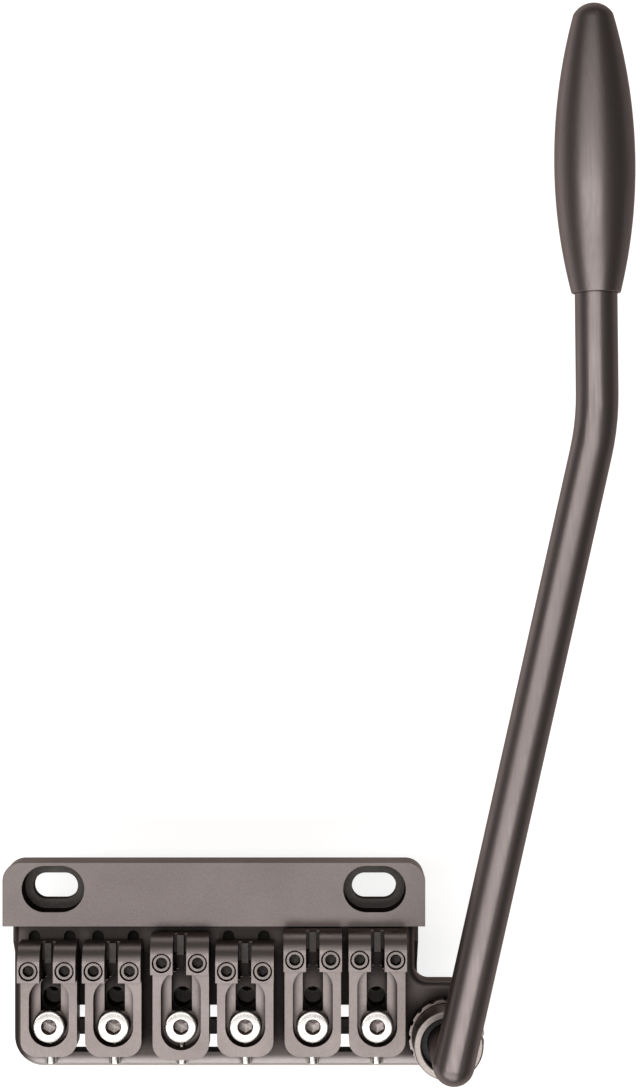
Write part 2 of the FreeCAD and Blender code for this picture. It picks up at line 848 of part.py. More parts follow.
def biarc(start, start_way, end, end_way):
    """Two tangent arcs from one point and direction to another."""
    span = end - start
    ways = start_way + end_way
    spread = 2 * (1 - start_way.dot(end_way))
    reach = (math.sqrt(span.dot(ways) ** 2 + spread * span.dot(span)) - span.dot(ways)) / spread
    meeting = (start + start_way * reach + end - end_way * reach) * 0.5
    backwards = arc_through(end, end_way * -1, meeting)
    return [arc_through(start, start_way, meeting).toShape(), backwards.toShape()]


def coil_gap(points, wire, points_per_turn):
    """The least gap between one stretch of a coil and those at least half a turn away."""
    apart = [
        one.distanceToPoint(other)
        for place, one in enumerate(points)
        for other in points[place + int(points_per_turn / 2) :]
    ]
    return min(apart) - wire


def make_springs():
    wire = dim.spring_wire.value
    turn_radius = (dim.spring_diameter.value - wire) / 2
    first_y = cup_front_y.value + wire / 2 + dim.spring_seat_gap.value
    last_y = spring_floor_y.value - wire / 2 - dim.spring_seat_gap.value
    turns = dim.spring_turns.value
    rise = (last_y - first_y) / (2 * math.pi * turns)
    quarter = math.pi / 2
    quarters = round(turns * 4)

    def place(angle):
        return FreeCAD.Vector(
            turn_radius * math.cos(angle), first_y + rise * angle, turn_radius * math.sin(angle)
        )

    def heading(angle):
        return FreeCAD.Vector(
            -turn_radius * math.sin(angle), rise, turn_radius * math.cos(angle)
        ).normalize()

    edges = []
    for step in range(quarters):
        low, high = step * quarter, (step + 1) * quarter
        edges += biarc(place(low), heading(low), place(high), heading(high))
    path = Part.Wire(Part.__sortEdges__(edges))
    section = Part.Wire(Part.makeCircle(wire / 2, place(0), heading(0)))
    coil = path.makePipeShell([section], True, False)
    points_per_turn = 48
    last_point = int(turns * points_per_turn)
    samples = [place(2 * math.pi * step / points_per_turn) for step in range(last_point + 1)]
    print("spring: least gap between turns", round(coil_gap(samples, wire, points_per_turn), 3))
    for name, side in SIDES.items():
        item = doc.addObject("Part::Feature", f"spring_{name}")
        item.Shape = coil
        move(item, side * spring_side, 0, -dim.spring_drop)
        keep(item, f"spring_{name}")


def plate_rim_edges(shape):
    """The names of the slab's upper edges, apart from the one that the hinge joins."""
    names = []
    for number, edge in enumerate(shape.Edges, 1):
        points = [vertex.Point for vertex in edge.Vertexes]
        on_top = all(abs(point.z - plate_top.value) < TOLERANCE for point in points)
        at_hinge = all(abs(point.y + dim.plate_front.value) < TOLERANCE for point in points)
        if on_top and not at_hinge:
            names.append(f"Edge{number}")
    return names


def make_tremolo_plate():
    body = doc.addObject("PartDesign::Body", "tremolo_plate")
    front, rear = -dim.plate_front, -dim.plate_rear
    ear_side = socket_x + dim.ear_margin
    outline = sketch_on(body, "XY_Plane", "outline", dim.plate_bottom)
    draw_outline(
        outline,
        [
            (-plate_half, front, 0),
            (-plate_half, rear, dim.plate_corner),
            (ear_side, rear, dim.ear_rear_corner),
            (ear_side, -dim.ear_front, dim.ear_front_corner),
            (plate_half, -dim.ear_front, dim.ear_fillet),
            (plate_half, front, 0),
        ],
    )
    slab = pad(body, outline, dim.plate_thickness)
    doc.recompute()
    rim = body.newObject("PartDesign::Fillet", "tremolo_plate_rim")
    rim.Base = (slab, plate_rim_edges(slab.Shape))
    bind(rim, "Radius", dim.plate_rim_round)
    # Hinge knuckle, joined to the plate by a neck
    neck = sketch_on(body, "YZ_Plane", "neck")
    draw_outline(
        neck,
        [
            (front - dim.moving_gap, dim.plate_bottom, 0),
            (pivot_y, dim.plate_bottom, 0),
            (pivot_y, plate_top, 0),
            (front - dim.moving_gap, plate_top, 0),
        ],
    )
    pad(body, neck, dim.knuckle_width, symmetric=True)
    knuckle = sketch_on(body, "YZ_Plane", "knuckle")
    draw_circle(knuckle, pivot_y, pivot_z, dim.knuckle_radius * 2)
    pad(body, knuckle, dim.knuckle_width, symmetric=True)
    axle_bore = sketch_on(body, "YZ_Plane", "axle_bore")
    draw_circle(axle_bore, pivot_y, pivot_z, dim.axle_diameter + dim.fit_gap * 2)
    pocket(body, axle_bore, dim.knuckle_width, symmetric=True)
    for name, side in SIDES.items():
        bush_bore = sketch_on(body, "YZ_Plane", f"bush_bore_{name}", side * knuckle_half)
        draw_circle(bush_bore, pivot_y, pivot_z, dim.bush_diameter)
        pocket(body, bush_bore, dim.bush_length, upwards=side < 0)
    # Windows between the saddles of each pair
    windows = sketch_on(body, "XY_Plane", "windows", plate_top)
    for pair in PAIRS:
        low = dim.pair_pitch * pair - dim.window_width / 2
        high = dim.pair_pitch * pair + dim.window_width / 2
        corner = dim.window_corner
        draw_outline(
            windows,
            [
                (low, -dim.window_rear, corner),
                (high, -dim.window_rear, corner),
                (high, -dim.window_front, corner),
                (low, -dim.window_front, corner),
            ],
        )
    pocket(body, windows)
    # Grooves for the points of the height screws
    grooves = sketch_on(body, "XY_Plane", "grooves", plate_top)
    string_holes = sketch_on(body, "XY_Plane", "string_holes", plate_top)
    clamp_holes = sketch_on(body, "XY_Plane", "clamp_holes", plate_top)
    for x in string_places.values():
        for side in SIDES.values():
            groove_x = x + dim.height_screw_spread * (side / 2)
            draw_slot(grooves, (groove_x, -dim.groove_rear), (groove_x, -dim.groove_front), dim.groove_width)
        mouth_front = -dim.string_mouth_front - dim.string_mouth_width / 2
        mouth_rear = -dim.string_mouth_rear + dim.string_mouth_width / 2
        draw_slot(string_holes, (x, mouth_rear), (x, mouth_front), dim.string_mouth_width)
        draw_circle(clamp_holes, x, clamp_y, dim.clamp_screw_diameter)
    pocket(body, grooves, dim.groove_depth)
    pocket(body, string_holes)
    pocket(body, clamp_holes, dim.clamp_screw_reach + dim.fit_gap)
    # Blind holes for the block's screws, and the hole for the arm socket
    block_holes = sketch_on(body, "XY_Plane", "block_holes", dim.plate_bottom)
    for pair in PAIRS:
        draw_circle(block_holes, dim.pair_pitch * pair, -dim.block_screw_back, dim.block_screw_diameter)
    pocket(body, block_holes, dim.block_screw_reach + dim.fit_gap, upwards=True)
    socket_hole = sketch_on(body, "XY_Plane", "socket_hole", plate_top)
    draw_circle(socket_hole, socket_x, socket_y, dim.socket_spigot_diameter)
    pocket(body, socket_hole)
    keep(body, "tremolo_plate")


def make_string_block():
    body = doc.addObject("PartDesign::Body", "string_block")
    bottom, top = -dim.block_bottom, dim.plate_bottom
    profile = sketch_on(body, "YZ_Plane", "profile")
    draw_outline(
        profile,
        [
            (-dim.block_front, bottom, 0),
            (-dim.block_front, top, 0),
            (-dim.block_rear, top, 0),
            (-dim.block_rear, bottom + dim.block_chamfer, 0),
            (-dim.block_rear + dim.block_chamfer, bottom, 0),
        ],
    )
    pad(body, profile, (rail_inner - dim.block_side_gap) * 2, symmetric=True)
    string_holes = sketch_on(body, "XY_Plane", "string_holes", top)
    ball_seats = sketch_on(body, "XY_Plane", "ball_seats", bottom)
    for x in string_places.values():
        draw_circle(string_holes, x, -dim.string_back, dim.string_hole_diameter)
        draw_circle(ball_seats, x, -dim.string_back, dim.ball_end_diameter)
    pocket(body, string_holes)
    pocket(body, ball_seats, dim.ball_end_depth, upwards=True)
    head_wells = sketch_on(body, "XY_Plane", "head_wells", bottom)
    screw_holes = sketch_on(body, "XY_Plane", "screw_holes", top)
    for pair in PAIRS:
        x = dim.pair_pitch * pair
        draw_circle(head_wells, x, -dim.block_screw_back, dim.block_screw_head + dim.moving_gap * 2)
        draw_circle(screw_holes, x, -dim.block_screw_back, dim.block_screw_diameter)
    pocket(body, head_wells, dim.block_bottom + top - dim.block_screw_grip, upwards=True)
    pocket(body, screw_holes)
    spring_wells = sketch_on(body, "XZ_Plane", "spring_wells", dim.block_rear)
    for side in SIDES.values():
        well = dim.spring_diameter + dim.spring_well_clearance * 2
        well_x, well_z = side * spring_side, -dim.spring_drop
        draw_slot(spring_wells, (well_x, well_z), (well_x, well_z - dim.spring_well_drop), well)
    pocket(body, spring_wells, dim.spring_well_depth)
    keep(body, "string_block")


def make_block_screws():
    screws = []
    head_top = dim.plate_bottom - dim.block_screw_grip
    for pair in PAIRS:
        x, y = dim.pair_pitch * pair, -dim.block_screw_back
        tag = f"block_screw_{pair + 2}"
        length = dim.block_screw_grip + dim.block_screw_reach
        shank = rod(f"{tag}_shank", dim.block_screw_diameter, length, (x, y, head_top))
        head_z = head_top - dim.block_screw_head_height
        head = rod(f"{tag}_head", dim.block_screw_head, dim.block_screw_head_height, (x, y, head_z))
        key = hexagon(f"{tag}_key", dim.clamp_key_size, dim.clamp_key_depth, (x, y, head_z))
        screws.append(cut(tag, join(f"{tag}_bolt", shank, head), key))
    keep(group("block_screws", *screws), "block_screws")


def make_saddle(name):
    """One saddle about its clamp screw: a forked foot behind and a tall split nose in front."""
    body = doc.addObject("PartDesign::Body", f"saddle_{name}")
    half = dim.saddle_width / 2
    screw_y = nose_reaches[name]
    nose_start = screw_y - dim.nose_rear
    foot = sketch_on(body, "XY_Plane", "foot", saddle_under)
    draw_outline(
        foot,
        [
            (-half, -dim.saddle_tail, dim.saddle_corner),
            (half, -dim.saddle_tail, dim.saddle_corner),
            (half, screw_y, 0),
            (-half, screw_y, 0),
        ],
    )
    pad(body, foot, dim.saddle_height)
    nose = sketch_on(body, "YZ_Plane", "nose")
    undercut_z = saddle_under + dim.nose_undercut_height
    draw_outline(
        nose,
        [
            (nose_start, saddle_under, 0),
            (screw_y + dim.nose_undercut_front, saddle_under, 0),
            (screw_y + dim.nose_undercut_front, undercut_z, 0),
            (screw_y + dim.nose_front, undercut_z, 0),
            (screw_y + dim.nose_front, nose_top, dim.nose_round),
            (nose_start, nose_top, 0),
        ],
    )
    pad(body, nose, dim.nose_width, symmetric=True)
    # Recess for the clamp screw's head, and the slot that its shank and the string pass
    recess = sketch_on(body, "XY_Plane", "recess", recess_floor_z)
    draw_slot(recess, ORIGIN, (as_size(0), nose_start - dim.recess_width / 2), dim.recess_width)
    pocket(body, recess, dim.nose_height, upwards=True)
    slot = sketch_on(body, "XY_Plane", "slot", saddle_under - dim.fit_gap)
    slot_end = nose_start - dim.clamp_slot_width / 2
    draw_slot(slot, ORIGIN, (as_size(0), slot_end), dim.clamp_slot_width)
    pocket(body, slot, dim.nose_height, upwards=True)
    # String slot through the nose: a crest in front, then a ramp down to the rear
    string_slot = sketch_on(body, "YZ_Plane", "string_slot")
    crest = nose_top - dim.crest_drop
    past_front = screw_y + dim.nose_front + dim.fit_gap
    crest_end = screw_y + dim.crest_rear
    draw_outline(
        string_slot,
        [
            (past_front, crest, 0),
            (past_front, nose_top + dim.fit_gap, 0),
            (nose_start - dim.fit_gap, nose_top + dim.fit_gap, 0),
            (nose_start - dim.fit_gap, recess_floor_z, 0),
            (crest_end, crest - dim.crest_step, 0),
            (crest_end, crest, 0),
        ],
    )
    pocket(body, string_slot, dim.string_slot_width, symmetric=True)
    crest_sides = sketch_on(body, "XY_Plane", "crest_sides", nose_top)
    for side in SIDES.values():
        ends = (dim.crest_width * (side / 2), dim.string_slot_width * (side / 2))
        low, high = sorted(ends, key=lambda end: end.value)
        draw_outline(
            crest_sides,
            [(low, crest_end, 0), (high, crest_end, 0), (high, past_front, 0), (low, past_front, 0)],
        )
    pocket(body, crest_sides, dim.crest_drop + dim.crest_side_depth)
    # Threaded holes
    height_holes = sketch_on(body, "XY_Plane", "height_holes", saddle_under - dim.fit_gap)
    for side in SIDES.values():
        hole_x = dim.height_screw_spread * (side / 2)
        draw_circle(height_holes, hole_x, screw_y, dim.height_screw_diameter + dim.thread_gap * 2)
    pocket(body, height_holes, dim.nose_height + dim.moving_gap, upwards=True)
    intonation_hole = sketch_on(body, "XZ_Plane", "intonation_hole", dim.saddle_tail)
    draw_circle(intonation_hole, 0, intonation_z, dim.intonation_diameter)
    pocket(body, intonation_hole, dim.saddle_tail)
    move(body, string_places[name], clamp_y - saddle_setbacks[name])
    keep(body, f"saddle_{name}")


def make_height_screws(name):
    x, y = string_places[name], clamp_y - saddle_setbacks[name] + nose_reaches[name]
    point_z = plate_top - dim.groove_depth
    top = nose_top - dim.height_screw_sink
    screws = []
    for side_name, side in SIDES.items():
        tag = f"height_{name}_{side_name}"
        place_x = x + dim.height_screw_spread * (side / 2)
        shank_z = point_z + dim.height_screw_point_length
        shank = rod(f"{tag}_shank", dim.height_screw_diameter, top - shank_z, (place_x, y, shank_z))
        point = rod(
            f"{tag}_point",
            dim.height_screw_point,
            dim.height_screw_point_length,
            (place_x, y, point_z),
        )
        key = hexagon(
            f"{tag}_key",
            dim.height_key_size,
            dim.height_key_depth,
            (place_x, y, top - dim.height_key_depth),
        )
        screws.append(cut(f"{tag}_screw", join(f"{tag}_rod", shank, point), key))
    keep(group(f"height_screws_{name}", *screws), f"height_screws_{name}")


def make_intonation_screw(name):
    tip_y = clamp_y - saddle_setbacks[name] - dim.clamp_screw_diameter / 2 - dim.fit_gap
    tail_y = -dim.plate_rear + dim.intonation_tail_gap
    tail = (string_places[name], tail_y, intonation_z)
    shank = rod(f"intonation_shank_{name}", dim.intonation_diameter, tip_y - tail_y, tail, axis="y")
    key = hexagon(
        f"intonation_key_{name}", dim.intonation_key_size, dim.intonation_key_depth, tail, axis="y"
    )
    keep(cut(f"intonation_screw_{name}", shank, key), f"intonation_screw_{name}")


def make_clamp_screws():
    screws = []
    foot_z = plate_top - dim.clamp_screw_reach
    top = clamp_head_z + dim.clamp_head_height
    for name, x in string_places.items():
        tag = f"clamp_{name}"
        shank = rod(f"{tag}_shank", dim.clamp_screw_diameter, top - foot_z, (x, clamp_y, foot_z))
        head = rod(f"{tag}_head", dim.clamp_head_diameter, dim.clamp_head_height, (x, clamp_y, clamp_head_z))
        key = hexagon(
            f"{tag}_key", dim.clamp_key_size, dim.clamp_key_depth, (x, clamp_y, top - dim.clamp_key_depth)
        )
        screws.append(cut(f"{tag}_screw", join(f"{tag}_bolt", shank, head), key))
    keep(group("clamp_screws", *screws), "clamp_screws")


def make_arm_socket():
    tube = rod("socket_tube", dim.socket_diameter, dim.socket_height, (socket_x, socket_y, plate_top))
    spigot = rod(
        "socket_spigot",
        dim.socket_spigot_diameter,
        dim.socket_spigot_length,
        (socket_x, socket_y, socket_foot),
    )
    bore = rod(
        "socket_bore_tool",
        dim.socket_bore,
        dim.socket_height + dim.socket_spigot_length,
        (socket_x, socket_y, socket_foot),
    )
    keep(cut("arm_socket", join("socket_stock", tube, spigot), bore), "arm_socket")


def make_arm_bush():
    length = dim.socket_height + dim.socket_spigot_length - dim.bush_recess
    place = (socket_x, socket_y, socket_foot)
    sleeve = rod("arm_bush_sleeve", dim.socket_bore, length, place)
    bore = rod("arm_bush_bore", dim.arm_diameter + dim.running_fit * 2, length, place)
    keep(cut("arm_bush", sleeve, bore), "arm_bush")


def make_socket_nut():
    place = (socket_x, socket_y, dim.plate_bottom - dim.nut_thickness)
    blank = rod("socket_nut_blank", dim.nut_diameter, dim.nut_thickness, place)
    flats = hexagon("socket_nut_flats", dim.nut_flats, dim.nut_thickness, place)
    trimmed = doc.addObject("Part::Common", "socket_nut_trimmed")
    trimmed.Base = blank
    trimmed.Tool = flats
    hole = rod("socket_nut_hole", dim.socket_spigot_diameter, dim.nut_thickness, place)
    keep(cut("socket_nut", trimmed, hole), "socket_nut")


def make_tension_ring():
    body = doc.addObject("PartDesign::Body", "tension_ring")
    blank = sketch_on(body, "XY_Plane", "blank")
    draw_circle(blank, 0, 0, dim.ring_diameter)
    draw_circle(blank, 0, 0, dim.socket_diameter + dim.thread_gap * 2)
    pad(body, blank, dim.ring_height)
    notch = sketch_on(body, "XY_Plane", "notch", dim.ring_height)
    draw_circle(notch, dim.ring_diameter / 2 + dim.ring_notch_diameter / 4, 0, dim.ring_notch_diameter)
    first = pocket(body, notch)
    pattern = body.newObject("PartDesign::PolarPattern", "tension_ring_notches")
    pattern.Originals = [first]
    pattern.Axis = (notch, ["N_Axis"])
    pattern.Angle = 360
    bind(pattern, "Occurrences", dim.ring_notches)
    body.Tip = pattern
    move(body, socket_x, socket_y, plate_top + dim.ring_lift)
    keep(body, "tension_ring")


def arm_route():
    """The arm's elbow, the ends of its bend, the bend's middle, and the end of the rod."""
    lean, rise = math.radians(dim.arm_lean.value), math.radians(dim.arm_rise.value)
    run_way = FreeCAD.Vector(
        math.sin(lean) * math.cos(rise), math.cos(lean) * math.cos(rise), math.sin(rise)
    )
    end_lean = math.radians(dim.arm_end_lean.value)
    end_way = FreeCAD.Vector(-math.sin(end_lean), math.cos(end_lean), 0)
    elbow = FreeCAD.Vector(socket_x.value, socket_y.value, dim.arm_elbow_height.value)
    corner = elbow + run_way * dim.arm_run.value
    turn = run_way.getAngle(end_way)
    trim = dim.arm_bend_radius.value * math.tan(turn / 2)
    bend_start = corner - run_way * trim
    bend_end = corner + end_way * trim
    inward = (end_way - run_way).normalize()
    depth = dim.arm_bend_radius.value * (1 / math.cos(turn / 2) - 1)
    middle = corner + inward * depth
    return SimpleNamespace(
        elbow=elbow,
        corner=corner,
        run_way=run_way,
        end_way=end_way,
        bend_start=bend_start,
        middle=middle,
        bend_end=bend_end,
        end=corner + end_way * dim.arm_end_run.value,
    )


def make_tremolo_arm():
    route = arm_route()
    radius = dim.arm_diameter.value / 2
    foot = FreeCAD.Vector(socket_x.value, socket_y.value, arm_foot.value)
    leg = Part.makeCylinder(radius, route.elbow.z - foot.z, foot)
    ball = Part.makeSphere(radius, route.elbow)
    path = Part.Wire(
        [
            Part.makeLine(route.elbow, route.bend_start),
            Part.Arc(route.bend_start, route.middle, route.bend_end).toShape(),
            Part.makeLine(route.bend_end, route.end),
        ]
    )
    section = Part.Wire(Part.makeCircle(radius, route.elbow, route.run_way))
    run = path.makePipeShell([section], True, False)
    clip_z = socket_foot.value - dim.clip_gap.value - dim.clip_thickness.value
    groove_foot = FreeCAD.Vector(foot.x, foot.y, clip_z)
    groove = Part.makeCylinder(radius * 2, dim.clip_thickness.value, groove_foot).cut(
        Part.makeCylinder(dim.clip_groove_diameter.value / 2, dim.clip_thickness.value, groove_foot)
    )
    item = doc.addObject("Part::Feature", "tremolo_arm")
    item.Shape = leg.fuse([ball, run]).removeSplitter().cut(groove)
    item.Placement = FreeCAD.Placement()
    keep(item, "tremolo_arm")


def make_arm_clip():
    clip_z = socket_foot - dim.clip_gap - dim.clip_thickness
    place = (socket_x, socket_y, clip_z)
    disc = rod("clip_disc", dim.clip_diameter, dim.clip_thickness, place)
    hole = rod("clip_hole", dim.clip_groove_diameter, dim.clip_thickness, place)
    mouth = block(
        "clip_mouth",
        (socket_x, socket_x + dim.clip_diameter),
        (socket_y - dim.clip_opening / 2, socket_y + dim.clip_opening / 2),
        (clip_z, clip_z + dim.clip_thickness),
    )
    keep(cut("arm_clip", disc, hole, mouth), "arm_clip")


def swell_radius(end_radius, reach):
    """The radius of an arc that leaves the grip's widest place along the grip and narrows to its end."""
    narrowing = dim.tip_widest / 2 - end_radius
    return reach * reach / narrowing / 2 + narrowing / 2


def make_arm_tip():
    """A turned grip: two long arcs that meet where it is widest, a low dome and a blind bore for the rod."""
    body = doc.addObject("PartDesign::Body", "arm_tip")
    base_radius = dim.arm_diameter / 2 + dim.tip_base_wall
    shoulder_y = dim.tip_length - dim.tip_dome_height
    base_arc_radius = swell_radius(base_radius, dim.tip_widest_at)
    end_arc_radius = swell_radius(dim.tip_shoulder_diameter / 2, shoulder_y - dim.tip_widest_at)
    base_arc_x = dim.tip_widest / 2 - base_arc_radius
    end_arc_x = dim.tip_widest / 2 - end_arc_radius
    bore = dim.arm_diameter.value / 2
    bore_depth = (dim.arm_end_run - dim.tip_start).value
    base = FreeCAD.Vector(base_radius.value, 0, 0)
    widest = FreeCAD.Vector(dim.tip_widest.value / 2, dim.tip_widest_at.value, 0)
    shoulder = FreeCAD.Vector(dim.tip_shoulder_diameter.value / 2, shoulder_y.value, 0)
    base_middle = FreeCAD.Vector(base_arc_x.value, dim.tip_widest_at.value, 0)
    end_middle = FreeCAD.Vector(end_arc_x.value, dim.tip_widest_at.value, 0)
    apex = FreeCAD.Vector(0, dim.tip_length.value, 0)
    dome_radius = (shoulder.x**2 + dim.tip_dome_height.value**2) / (2 * dim.tip_dome_height.value)
    dome_middle = FreeCAD.Vector(0, apex.y - dome_radius, 0)
    profile = sketch_on(body, "XY_Plane", "profile")
    sketch_points = [
        apex,
        FreeCAD.Vector(0, bore_depth, 0),
        FreeCAD.Vector(bore, bore_depth, 0),
        FreeCAD.Vector(bore, 0, 0),
        base,
    ]
    lines = [
        profile.addGeometry(Part.LineSegment(sketch_points[i], sketch_points[i + 1]), False)
        for i in range(len(sketch_points) - 1)
    ]
    base_curve, _ = arc_between(base_middle, base_arc_radius.value, base, widest, True)
    end_curve, _ = arc_between(end_middle, end_arc_radius.value, widest, shoulder, True)
    dome_curve, _ = arc_between(dome_middle, dome_radius, shoulder, apex, True)
    base_arc = profile.addGeometry(base_curve, False)
    end_arc = profile.addGeometry(end_curve, False)
    dome = profile.addGeometry(dome_curve, False)
    chain = lines + [base_arc, end_arc, dome]
    for one, other in zip(chain, chain[1:] + chain[:1]):
        profile.addConstraint(Sketcher.Constraint("Coincident", one, 2, other, 1))
    hold_point(profile, lines[0], 1, 0, dim.tip_length)
    hold_point(profile, lines[1], 1, 0, dim.arm_end_run - dim.tip_start)
    hold_point(profile, lines[2], 1, dim.arm_diameter / 2, dim.arm_end_run - dim.tip_start)
    hold_point(profile, lines[3], 1, dim.arm_diameter / 2, 0)
    hold_point(profile, base_arc, 1, base_radius, 0)
    hold_point(profile, base_arc, 3, base_arc_x, dim.tip_widest_at)
    hold(profile, "DistanceY", dim.tip_widest_at, -1, 1, end_arc, 3)
    hold(profile, "DistanceY", dim.tip_widest_at, -1, 1, end_arc, 1)
    hold_point(profile, end_arc, 2, dim.tip_shoulder_diameter / 2, shoulder_y)
    hold(profile, "DistanceX", as_size(0), -1, 1, dome, 3)
    turned = body.newObject("PartDesign::Revolution", "arm_tip_turned")
    turned.Profile = profile
    turned.ReferenceAxis = (profile, ["V_Axis"])
    turned.Angle = 360
    route = arm_route()
    body.Placement = FreeCAD.Placement(
        route.corner + route.end_way * dim.tip_start.value,
        FreeCAD.Rotation(FreeCAD.Vector(0, 1, 0), route.end_way),
    )
    keep(body, "arm_tip")


def faults():
    """Every object that failed, and every sub-part whose shape is missing or not valid."""
    failed = [item.Name for item in doc.Objects if {"Invalid", "Error"} & set(item.State)]
    broken = [item.Label for item in subparts if item.Shape.isNull() or not item.Shape.isValid()]
    return failed + broken


make_mounting_flange()
make_axle_blocks()
make_axle_block_screws()
make_pivot_axle()
make_pivot_bushes()
make_side_rails()
make_rail_screws()
make_spring_bar()
make_spring_bar_screws()
make_spring_tension_screws()
make_spring_cups()
make_springs()
make_tremolo_plate()
make_string_block()
make_block_screws()
make_clamp_screws()
for string_name in STRING_NAMES:
    make_saddle(string_name)
    make_height_screws(string_name)
    make_intonation_screw(string_name)
make_arm_socket()
make_arm_bush()
make_socket_nut()
make_tension_ring()
make_tremolo_arm()
make_arm_clip()
make_arm_tip()

doc.recompute()
found = faults()
if found:
    raise SystemExit("failed: " + ", ".join(found))

os.makedirs("parts", exist_ok=True)
for item in subparts:
    item.Shape.exportStep(f"parts/{item.Label}.step")
print(len(subparts), "sub-parts written")
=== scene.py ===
import json
import math

import bmesh
import bpy
from mathutils import Matrix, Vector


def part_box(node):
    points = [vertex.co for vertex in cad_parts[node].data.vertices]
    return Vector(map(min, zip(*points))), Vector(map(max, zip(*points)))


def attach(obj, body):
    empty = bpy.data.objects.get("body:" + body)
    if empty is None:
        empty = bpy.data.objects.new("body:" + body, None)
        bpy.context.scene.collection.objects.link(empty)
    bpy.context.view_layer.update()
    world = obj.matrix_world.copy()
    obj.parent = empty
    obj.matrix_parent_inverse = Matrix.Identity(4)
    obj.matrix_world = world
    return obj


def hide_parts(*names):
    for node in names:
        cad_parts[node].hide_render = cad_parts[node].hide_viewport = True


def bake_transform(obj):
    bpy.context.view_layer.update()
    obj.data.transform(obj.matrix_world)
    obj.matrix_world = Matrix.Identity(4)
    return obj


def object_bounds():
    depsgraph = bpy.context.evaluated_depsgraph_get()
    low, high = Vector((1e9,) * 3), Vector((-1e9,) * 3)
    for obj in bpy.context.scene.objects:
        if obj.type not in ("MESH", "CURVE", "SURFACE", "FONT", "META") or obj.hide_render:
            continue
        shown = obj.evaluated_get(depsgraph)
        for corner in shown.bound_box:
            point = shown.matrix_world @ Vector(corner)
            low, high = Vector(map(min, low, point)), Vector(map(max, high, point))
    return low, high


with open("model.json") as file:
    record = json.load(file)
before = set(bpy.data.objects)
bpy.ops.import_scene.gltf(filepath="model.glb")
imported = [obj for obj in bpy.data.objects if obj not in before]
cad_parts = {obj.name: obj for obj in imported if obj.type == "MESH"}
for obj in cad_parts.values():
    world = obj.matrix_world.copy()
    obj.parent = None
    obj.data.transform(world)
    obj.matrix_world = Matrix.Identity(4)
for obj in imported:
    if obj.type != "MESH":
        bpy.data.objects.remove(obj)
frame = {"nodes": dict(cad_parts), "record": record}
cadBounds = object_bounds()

mm = 0.001
stringNames = ["1", "2", "3", "4", "5", "6"]
sideNames = ["left", "right"]


def linearColour(hexText):
    shares = [int(hexText[i:i + 2], 16) / 255 for i in (1, 3, 5)]
    return [s / 12.92 if s <= 0.04045 else ((s + 0.055) / 1.055) ** 2.4 for s in shares] + [1.0]


def addNode(tree, kind, settings=None, inputs=None):
    node = tree.nodes.new(kind)
    for name, value in (settings or {}).items():
        setattr(node, name, value)
    for name, value in (inputs or {}).items():
        if isinstance(value, bpy.types.NodeSocket):
            tree.links.new(value, node.inputs[name])
        else:
            node.inputs[name].default_value = value
    return node


def grainPerMetre(millimetres):
    return 1 / (millimetres * mm)      # noise scale whose features are about that size


